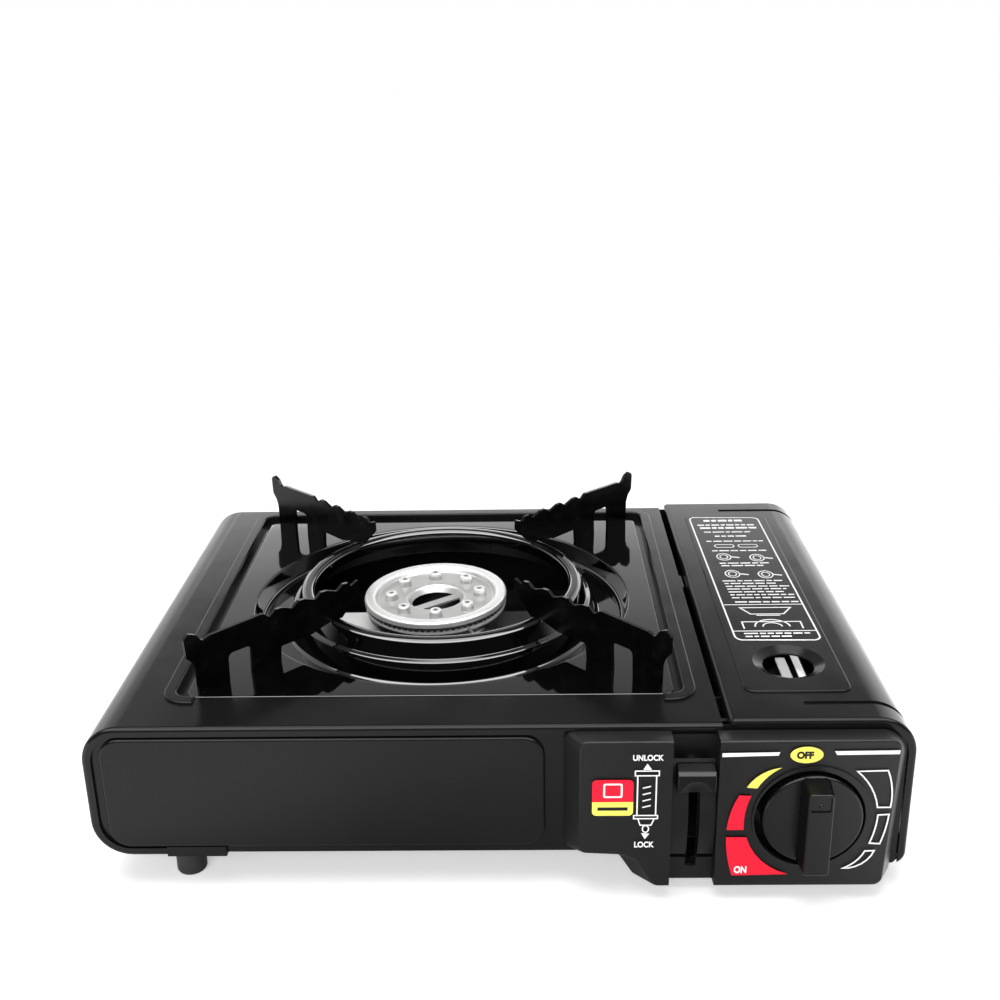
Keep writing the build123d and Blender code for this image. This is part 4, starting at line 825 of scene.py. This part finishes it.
# marks on the fascia in millimetres: x from the frame's middle, and height above the floor
LINES = [
    [(89.6, 70.9), (112.3, 71.2), (111.7, 69.7), (89.6, 69.2)],
    [(133.7, 71.5), (159.4, 71.7), (159.2, 70.0), (134.7, 69.8)],
]
LOW_FLAME = (
    bow((113.4, 64.1), (108.0, 62.6), (100.0, 55.1)) + bow((104.2, 54.6), (108.2, 60.1), (113.4, 64.1))[:-1]
)
HIGH_FLAME = [
    bow((102.0, 51.1), (100.7, 47.0), (99.7, 35.1)) + bow((92.9, 35.1), (94.9, 46.0), (97.2, 51.4)),
    bow((101.0, 31.5), (105.7, 22.3), (118.8, 13.5)) + bow((95.9, 13.0), (93.4, 24.0), (92.8, 31.6)),
]
OUTLINES = [
    bow((155.4, 62.5), (156.9, 57.9), (157.8, 45.4)) + bow((152.6, 45.4), (148.4, 56.4), (143.4, 62.2)),
    bow((157.5, 42.1), (156.7, 35.2), (155.0, 28.1)) + bow((150.8, 28.4), (152.4, 34.7), (153.1, 41.8)),
    bow((153.1, 24.8), (147.6, 17.9), (140.7, 16.2)) + bow((140.7, 16.2), (147.7, 21.7), (149.3, 24.6))[1:],
]
OUTLINE_WIDTH = 0.62
OFF_FIELD = (122.84, 69.88, 6.5, 3.7)
ARROWS = [
    [(60.2, 66.4), (58.6, 63.6), (62.1, 63.6)],
    [(58.4, 33.8), (61.7, 33.5), (59.9, 30.9)],
]
# left, right, foot and head of each word, and how much its strokes are thickened
WORDS = {
    "OFF": (118.9, 125.6, 68.1, 71.5, 0.06),
    "ON": (96.7, 101.8, 14.1, 17.6, 0.035),
    "UNLOCK": (54.45, 66.6, 67.7, 70.4, 0.03),
    "LOCK": (55.7, 63.7, 26.9, 29.7, 0.03),
}
# the cartridge between UNLOCK and LOCK: cap, sides, shoulder, neck, valve and the lines across its body
CARTRIDGE = [
    ([(55.5, 60.8), (65.0, 60.8), (65.0, 63.0), (55.5, 63.0)], 0.5, True),
    ([(56.5, 60.6), (56.5, 42.3)], 0.55, False),
    ([(64.0, 60.6), (64.0, 42.3)], 0.55, False),
    ([(55.2, 40.7), (64.8, 40.7), (64.8, 42.2), (55.2, 42.2)], 0.5, True),
    ([(57.0, 40.4), (57.9, 37.6), (62.3, 37.6), (63.4, 40.4)], 0.5, False),
    (ring(60.1, 35.8, 1.25, 1.6, 20), 0.5, True),
    *(([(58.6, level), (61.9, level + 0.9)], 0.5, False) for level in (46.0, 49.0, 52.0, 55.0)),
]
# the patch on the lever face: left, right, foot, where the colours part, head, and corner radius; and the
# marks on it
PATCH = (38.4, 54.9, 42.2, 48.6, 58.9, 1.8)
PATCH_BOX = (round_box(43.2, 50.2, 51.0, 56.9, 0.5, 3), 0.75, True)
PATCH_BAR = ([(40.6, 45.4), (52.7, 45.4)], 1.5, False)


def fascia_print(ink, depth=0.0):
    """Printing on the fascia's front face; depth lays it over another print."""
    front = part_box("control_fascia")[0][1] / MM
    return Print((0.0, front - depth, 0.0), (1, 0, 0), (0, 0, 1), ink)


class STOVE_OT_dial_print(bpy.types.Operator):
    """Printed marks of the dial face: flame fields, rules, OFF and ON."""

    bl_idname = "stove.dial_print"
    bl_label = "Print dial face"

    def execute(self, context):
        ink = context.scene.stove_sizes.ink
        white = fascia_print(ink)
        for line in LINES:
            white.area(line)
        for outline in OUTLINES:
            white.stroke(outline, OUTLINE_WIDTH, closed=True)
        red = fascia_print(ink)
        for field in HIGH_FLAME:
            red.area(field)
        yellow = fascia_print(ink)
        yellow.area(LOW_FLAME)
        yellow.area(ring(*OFF_FIELD))
        off = fascia_print(ink, ink)
        off.words("OFF", *WORDS["OFF"])
        on = fascia_print(ink, ink)
        on.words("ON", *WORDS["ON"])
        white.made("dial_white_print", "white", "housing")
        red.made("dial_red_print", "red", "housing")
        yellow.made("dial_yellow_print", "yellow", "housing")
        off.made("dial_off_word", "black", "housing")
        on.made("dial_on_word", "white", "housing")
        return {"FINISHED"}


class STOVE_OT_lock_print(bpy.types.Operator):
    """Printed marks beside the lever: LOCK, UNLOCK, arrows and a cartridge."""

    bl_idname = "stove.lock_print"
    bl_label = "Print lever face"

    def execute(self, context):
        ink = context.scene.stove_sizes.ink
        white = fascia_print(ink)
        for text in ("UNLOCK", "LOCK"):
            white.words(text, *WORDS[text])
        for arrow in ARROWS:
            white.area(arrow)
        white.drawing(CARTRIDGE)
        white.made("lock_white_print", "white", "housing")
        return {"FINISHED"}


class STOVE_OT_badge(bpy.types.Operator):
    """Two-tone patch on the lever face with a drawn box and a bar."""

    bl_idname = "stove.badge"
    bl_label = "Print patch"

    def execute(self, context):
        ink = context.scene.stove_sizes.ink
        x0, x1, z0, split, z1, corner = PATCH
        outline = round_box(x0, x1, z0, z1, corner)
        upper = [p for p in outline if p[1] > split]
        lower = [p for p in outline if p[1] < split]
        red = fascia_print(ink)
        red.area([(x1, split)] + upper + [(x0, split)])
        yellow = fascia_print(ink)
        yellow.area([(x0, split)] + lower + [(x1, split)])
        mark = fascia_print(ink, ink)
        mark.stroke(*PATCH_BOX)
        bar = fascia_print(ink, ink)
        bar.stroke(*PATCH_BAR)
        red.made("patch_red", "red", "housing")
        yellow.made("patch_yellow", "yellow", "housing")
        mark.made("patch_mark", "white", "housing")
        bar.made("patch_bar", "black", "housing")
        return {"FINISHED"}


# height of the cover's flat top, and the marks on it, in millimetres
COVER_FACE = 80.4
LABEL_CORNERS = [
    ((105.6, 103.9), (106.2, 107.2), (107.8, 108.8)), ((140.9, 107.8), (143.0, 106.6), (143.7, 104.0)),
    ((145.6, -39.5), (144.9, -42.6), (142.9, -44.0)), ((109.7, -43.4), (108.0, -41.8), (107.3, -38.8)),
]
LABEL_LINE = 0.75
LABEL_RULES = [([(107.6, y), (145.0, y)], 0.6, False) for y in (-6.4, -34.5)]
# rows of plain bars: place along the cover, left end, right end, thickness
LABEL_ROWS = [
    (103.6, 113.0, 136.0, 2.6), (97.0, 108.8, 140.8, 1.6), (92.6, 109.6, 140.6, 2.2),
    (86.6, 111.0, 138.4, 1.2), (80.6, 116.0, 134.6, 1.5), (73.4, 110.4, 141.0, 1.2),
    (60.2, 111.6, 141.6, 1.2), (43.6, 113.0, 139.6, 1.2), (40.4, 113.4, 136.0, 1.2),
    (21.4, 111.2, 142.4, 1.0), (18.2, 111.6, 137.0, 1.0), (14.8, 111.8, 143.0, 1.0),
    (11.6, 112.0, 141.0, 1.0), (8.2, 112.2, 139.0, 1.0), (4.8, 112.4, 143.4, 1.0),
    (1.4, 112.6, 143.0, 1.0), (-3.4, 113.4, 143.8, 1.2), (-37.0, 112.0, 142.0, 1.0),
    (-40.0, 112.2, 134.0, 1.0),
]
BAR_LENGTHS = (2.0, 6.5)
BAR_GAP = 0.9
DRAWN_PANS = ((116.5, 52.0), (133.5, 50.5), (117.5, 30.0), (134.0, 29.0))
DRAWN_BOXES = [
    (round_box(x - 5.0, x + 5.0, 64.8, 68.6, 1.4, 4), 0.55, True) for x in (119.0, 131.5)
]
# a pot over a burner: points, line width, and whether the line closes
DRAWN_STOVE = [
    ([(114.5, -9.8), (138.5, -9.8), (134.0, -16.8), (118.5, -16.8)], 0.7, True),
    ([(121.0, -18.2), (132.0, -18.2)], 0.7, False),
    (ring(126.4, -30.0, 8.0, 7.2, 26, 0.0, 180.0), 0.7, False),
    (ring(126.4, -30.0, 4.4, 3.8, 20, 0.0, 180.0), 0.6, False),
    ([(113.0, -32.0), (113.0, -25.0), (140.0, -25.0), (140.0, -32.0)], 0.7, False),
]


def drawn_pan(x, y):
    """A small pan from above, with its handle."""
    return [
        (ring(x, y, 3.6, 4.4, 28), 0.6, True),
        (ring(x, y, 2.0, 2.6, 20), 0.5, True),
        ([(x + 3.6, y), (x + 8.0, y - 1.2)], 1.1, False),
    ]


class STOVE_OT_cover_print(bpy.types.Operator):
    """White frame on the cover with plain bars and small drawings of pans and a burner."""

    bl_idname = "stove.cover_print"
    bl_label = "Print cover"

    def execute(self, context):
        ink = context.scene.stove_sizes.ink
        white = Print((0.0, 0.0, COVER_FACE), (1, 0, 0), (0, 1, 0), ink)
        frame_line = [point for corner in LABEL_CORNERS for point in bow(*corner, 4)]
        white.stroke(frame_line, LABEL_LINE, closed=True)
        white.drawing(LABEL_RULES)
        dice = random.Random(7)
        for y, x0, x1, width in LABEL_ROWS:
            x = x0
            while x < x1 - 1.5:
                end = min(x1, x + dice.uniform(*BAR_LENGTHS))
                white.stroke([(x, y), (end, y)], width)
                x = end + BAR_GAP
        for place in DRAWN_PANS:
            white.drawing(drawn_pan(*place))
        white.drawing(DRAWN_BOXES)
        white.drawing(DRAWN_STOVE)
        white.made("cover_label", "white", "cover")
        return {"FINISHED"}


class STOVE_OT_stage(bpy.types.Operator):
    """Floor, lamps, sky and camera."""

    bl_idname = "stove.stage"
    bl_label = "Set the stage"

    def execute(self, context):
        settings = context.scene.stove_stage
        build_floor()
        build_sky(settings.fill, settings.mirror)
        area_lamp("top_lamp", *TOP_LAMP, settings.top_power)
        area_lamp("front_lamp", *FRONT_LAMP, settings.front_power)
        sight_lamp(settings.sight_power)
        build_camera(settings.lens)
        context.scene.view_settings.view_transform = "Standard"
        return {"FINISHED"}


WHITE = (1.0, 1.0, 1.0, 1.0)
PAPER = (0.86, 0.86, 0.86)
# colour of the painted shade on the floor under the cartridge tray
PAINTED_SHADE_TONE = (0.03, 0.03, 0.03)
# how far the lit paper is lifted towards white
PAPER_LIFT = 0.42
# middle, inner half and outer half of the patch under the cartridge tray that is painted dark as painted
# shade, in metres, along x and y
SHADE_PATCH_X = (0.125, 0.02, 0.032)
SHADE_PATCH_Y = (0.011, 0.08, 0.1)
# reach from the middle, in metres, over which the floor gets its own level in the shine, and turns white
SHINE_REACH = (0.12, 0.24)
WHITE_REACH = (0.3, 0.5)
# level of the floor in the shine, at places along x in metres: ahead of the stove and around the rest of it,
# and the places along y over which one passes into the other
FLOOR_AHEAD = [(-0.3, 5.6), (0.0, 3.2), (0.1, 0.9), (0.2, 4.6)]
FLOOR_AROUND = [(-0.05, 1.4), (0.05, 2.6)]
AHEAD_TO_AROUND = (-0.16, -0.1)


def outside(paper, place, middle, inner, outer):
    """0 within inner of the middle, 1 past outer."""
    away = paper.math("ABSOLUTE", paper.math("SUBTRACT", place, middle))
    return paper.remap(away, inner, outer)


def build_floor():
    """White paper: lit near the stove, plain white far off, and with its own levels in the shine; a patch
    under the cartridge tray is painted dark as painted shade.
    """
    bm = bmesh.new()
    bmesh.ops.create_grid(bm, x_segments=1, y_segments=1, size=6.0)
    bmesh.ops.translate(bm, verts=bm.verts[:], vec=(0.0, 0.0, -0.2 * MM))
    floor = object_from(bm, "floor")
    paper = Paint("studio_paper", PAPER, 0.9, specular_ior_level=0.0)

    def glow(strength):
        return paper.node("ShaderNodeEmission", {"Color": WHITE, "Strength": strength}).outputs[0]

    def between(factor, first, second):
        return paper.node("ShaderNodeMixShader", {0: factor, 1: first, 2: second}).outputs[0]

    ray = paper.node("ShaderNodeLightPath").outputs
    axes = paper.axes()
    reach = paper.node("ShaderNodeVectorMath", {0: paper.place}, operation="LENGTH").outputs["Value"]
    # the paper's colour turns dark under the cartridge tray, and the lift towards white is left out there:
    # painted shade
    past_shade_patch = paper.math(
        "MAXIMUM", outside(paper, axes["X"], *SHADE_PATCH_X), outside(paper, axes["Y"], *SHADE_PATCH_Y)
    )
    paper.base(paper.mixed(past_shade_patch, PAINTED_SHADE_TONE, PAPER))
    lit = paper.shader.outputs[0]
    lift = paper.math("MULTIPLY", paper.math("MULTIPLY", ray["Is Camera Ray"], PAPER_LIFT), past_shade_patch)
    near = paper.node("ShaderNodeAddShader", {0: lit, 1: glow(lift)}).outputs[0]
    far = paper.math("MULTIPLY", paper.remap(reach, *WHITE_REACH, smooth=True), ray["Is Camera Ray"])
    ahead = paper.curve(axes["X"], FLOOR_AHEAD)
    around = paper.curve(axes["X"], FLOOR_AROUND)
    level = paper.blend(paper.remap(axes["Y"], *AHEAD_TO_AROUND), ahead, around)
    shine = between(paper.remap(reach, *SHINE_REACH, smooth=True), lit, glow(level))
    seen = between(ray["Is Glossy Ray"], between(far, near, glow(1.0)), shine)
    paper.tree.links.new(seen, paper.tree.nodes["Material Output"].inputs["Surface"])
    floor.data.materials.append(paper.material)


# level of the studio in the shine, at heights in degrees above the horizon, for each side of the stove
BEHIND = [
    (0.0, 1.6), (13.0, 2.2), (17.0, 4.6), (20.2, 5.0), (21.0, 2.0), (22.2, 1.4), (24.0, 1.05),
    (27.0, 0.7), (30.0, 0.45), (35.0, 0.1), (45.0, 0.03), (64.0, 0.03), (70.0, 10.0),
]
RIGHT = [(0.0, 3.0), (12.0, 3.2), (25.0, 2.1), (38.0, 1.8), (55.0, 0.4), (64.0, 0.3), (70.0, 10.0)]
LEFT = [(0.0, 2.2), (40.0, 1.4), (55.0, 0.4), (64.0, 0.3), (70.0, 10.0)]
FRONT = [(0.0, 0.05), (36.0, 0.05), (42.0, 16.0), (64.0, 16.0), (70.0, 10.0)]
# turn in degrees from straight behind over which one side passes into the next
BEHIND_TO_SIDE = (15.0, 26.0)
SIDE_TO_FRONT = (65.0, 100.0)


def build_sky(fill, mirror):
    """Even light for matt faces; for shiny faces a studio that is dark high behind and pale at the sides."""
    world = bpy.data.worlds.new("studio")
    bpy.context.scene.world = world
    world.use_nodes = True
    sky = Nodes(world.node_tree)
    way = sky.node("ShaderNodeTexCoord").outputs["Generated"]
    axes = sky.node("ShaderNodeSeparateXYZ", {0: way}).outputs
    rise = sky.math("MULTIPLY", sky.math("ARCSINE", axes["Z"]), math.degrees(1.0))
    turn = sky.math("MULTIPLY", sky.math("ARCTAN2", axes["X"], axes["Y"]), math.degrees(1.0))
    away = sky.math("ABSOLUTE", turn)
    side = sky.blend(sky.remap(turn, -1.0, 1.0), sky.curve(rise, LEFT), sky.curve(rise, RIGHT))
    level = sky.blend(sky.remap(away, *BEHIND_TO_SIDE, smooth=True), sky.curve(rise, BEHIND), side)
    level = sky.blend(sky.remap(away, *SIDE_TO_FRONT, smooth=True), level, sky.curve(rise, FRONT))
    ray = sky.node("ShaderNodeLightPath").outputs
    seen = sky.blend(ray["Is Glossy Ray"], fill, sky.math("MULTIPLY", level, mirror))
    back = world.node_tree.nodes["Background"]
    world.node_tree.links.new(sky.blend(ray["Is Camera Ray"], seen, 1.0), back.inputs["Strength"])
    back.inputs["Color"].default_value = WHITE


# place, aim and size of the soft lamps, in metres
TOP_LAMP = ((-0.15, -0.25, 1.5), (0.0, 0.0, 0.0), 1.1)
FRONT_LAMP = ((-0.3, -1.6, 0.7), (0.0, 0.0, 0.05), 1.0)
# the sight hole's lamp: what it is aimed at, the way to it from there and how far, and its spread
SIGHT_AIM = Vector((0.129, -0.036, 0.063))
SIGHT_WAY = Vector((-0.2, -0.85, 0.5)).normalized()
SIGHT_REACH = 1.2
SIGHT_SPREAD = math.radians(1.8)


def hang(name, lamp, place, target):
    """Aims a lamp at the target and keeps it out of the shine."""
    obj = bpy.data.objects.new(name, lamp)
    bpy.context.scene.collection.objects.link(obj)
    obj.location = place
    obj.rotation_euler = (Vector(target) - Vector(place)).to_track_quat("-Z", "Y").to_euler()
    obj.visible_glossy = False


def area_lamp(name, place, target, size, power):
    """Square soft lamp."""
    lamp = bpy.data.lights.new(name, "AREA")
    lamp.shape = "SQUARE"
    lamp.size = size
    lamp.energy = power
    hang(name, lamp, place, target)


def sight_lamp(power):
    """Narrow soft spot that reaches the notch guide through the sight hole."""
    lamp = bpy.data.lights.new("sight_lamp", "SPOT")
    lamp.energy = power
    lamp.spot_size = SIGHT_SPREAD
    lamp.spot_blend = 0.6
    lamp.shadow_soft_size = 0.01
    hang("sight_lamp", lamp, SIGHT_AIM + SIGHT_WAY * SIGHT_REACH, SIGHT_AIM)


# place in metres, and turns in radians: to the right, down and about the line of sight
CAMERA_PLACE = (0.01237, -0.54842, 0.33709)
CAMERA_PAN = -0.0205237
CAMERA_TILT = 0.3565087
CAMERA_ROLL = -0.0177301
SENSOR_WIDTH = 36.0


def build_camera(lens):
    """Camera in front of the stove, looking down on it."""
    level = Vector((math.sin(CAMERA_PAN), math.cos(CAMERA_PAN), 0.0))
    forward = level * math.cos(CAMERA_TILT) - Vector((0.0, 0.0, math.sin(CAMERA_TILT)))
    right = Vector((math.cos(CAMERA_PAN), -math.sin(CAMERA_PAN), 0.0))
    up = right.cross(forward)
    x_axis = right * math.cos(CAMERA_ROLL) + up * math.sin(CAMERA_ROLL)
    y_axis = up * math.cos(CAMERA_ROLL) - right * math.sin(CAMERA_ROLL)
    camera = bpy.data.cameras.new("camera")
    camera.lens = lens
    camera.sensor_width = SENSOR_WIDTH
    camera.clip_start = 0.01
    obj = bpy.data.objects.new("camera", camera)
    bpy.context.scene.collection.objects.link(obj)
    turn = Matrix((x_axis, y_axis, -forward)).transposed()
    obj.matrix_world = Matrix.Translation(CAMERA_PLACE) @ turn.to_4x4()
    bpy.context.scene.camera = obj


class STOVE_PT_panel(bpy.types.Panel):
    """Sidebar list of the steps."""

    bl_idname = "STOVE_PT_panel"
    bl_label = "Cassette stove"
    bl_space_type = "VIEW_3D"
    bl_region_type = "UI"
    bl_category = "Stove"

    def draw(self, context):
        for step in STEPS:
            self.layout.operator(step.bl_idname)


STEPS = (
    STOVE_OT_finishes, STOVE_OT_carried, STOVE_OT_pan, STOVE_OT_spring, STOVE_OT_dial_print,
    STOVE_OT_lock_print, STOVE_OT_badge, STOVE_OT_cover_print, STOVE_OT_stage,
)
GROUPS = {"stove_finishes": StoveFinishes, "stove_sizes": StoveSizes, "stove_stage": StoveStage}


def register():
    for cls in (*GROUPS.values(), *STEPS, STOVE_PT_panel):
        bpy.utils.register_class(cls)
    for name, group in GROUPS.items():
        setattr(bpy.types.Scene, name, PointerProperty(type=group))


def unregister():
    for name in GROUPS:
        delattr(bpy.types.Scene, name)
    for cls in (STOVE_PT_panel, *STEPS, *GROUPS.values()):
        bpy.utils.unregister_class(cls)


def main():
    """Runs the steps in order."""
    register()
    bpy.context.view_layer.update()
    for step in STEPS:
        group, name = step.bl_idname.split(".")
        getattr(getattr(bpy.ops, group), name)()


if __name__ == "__main__":
    main()
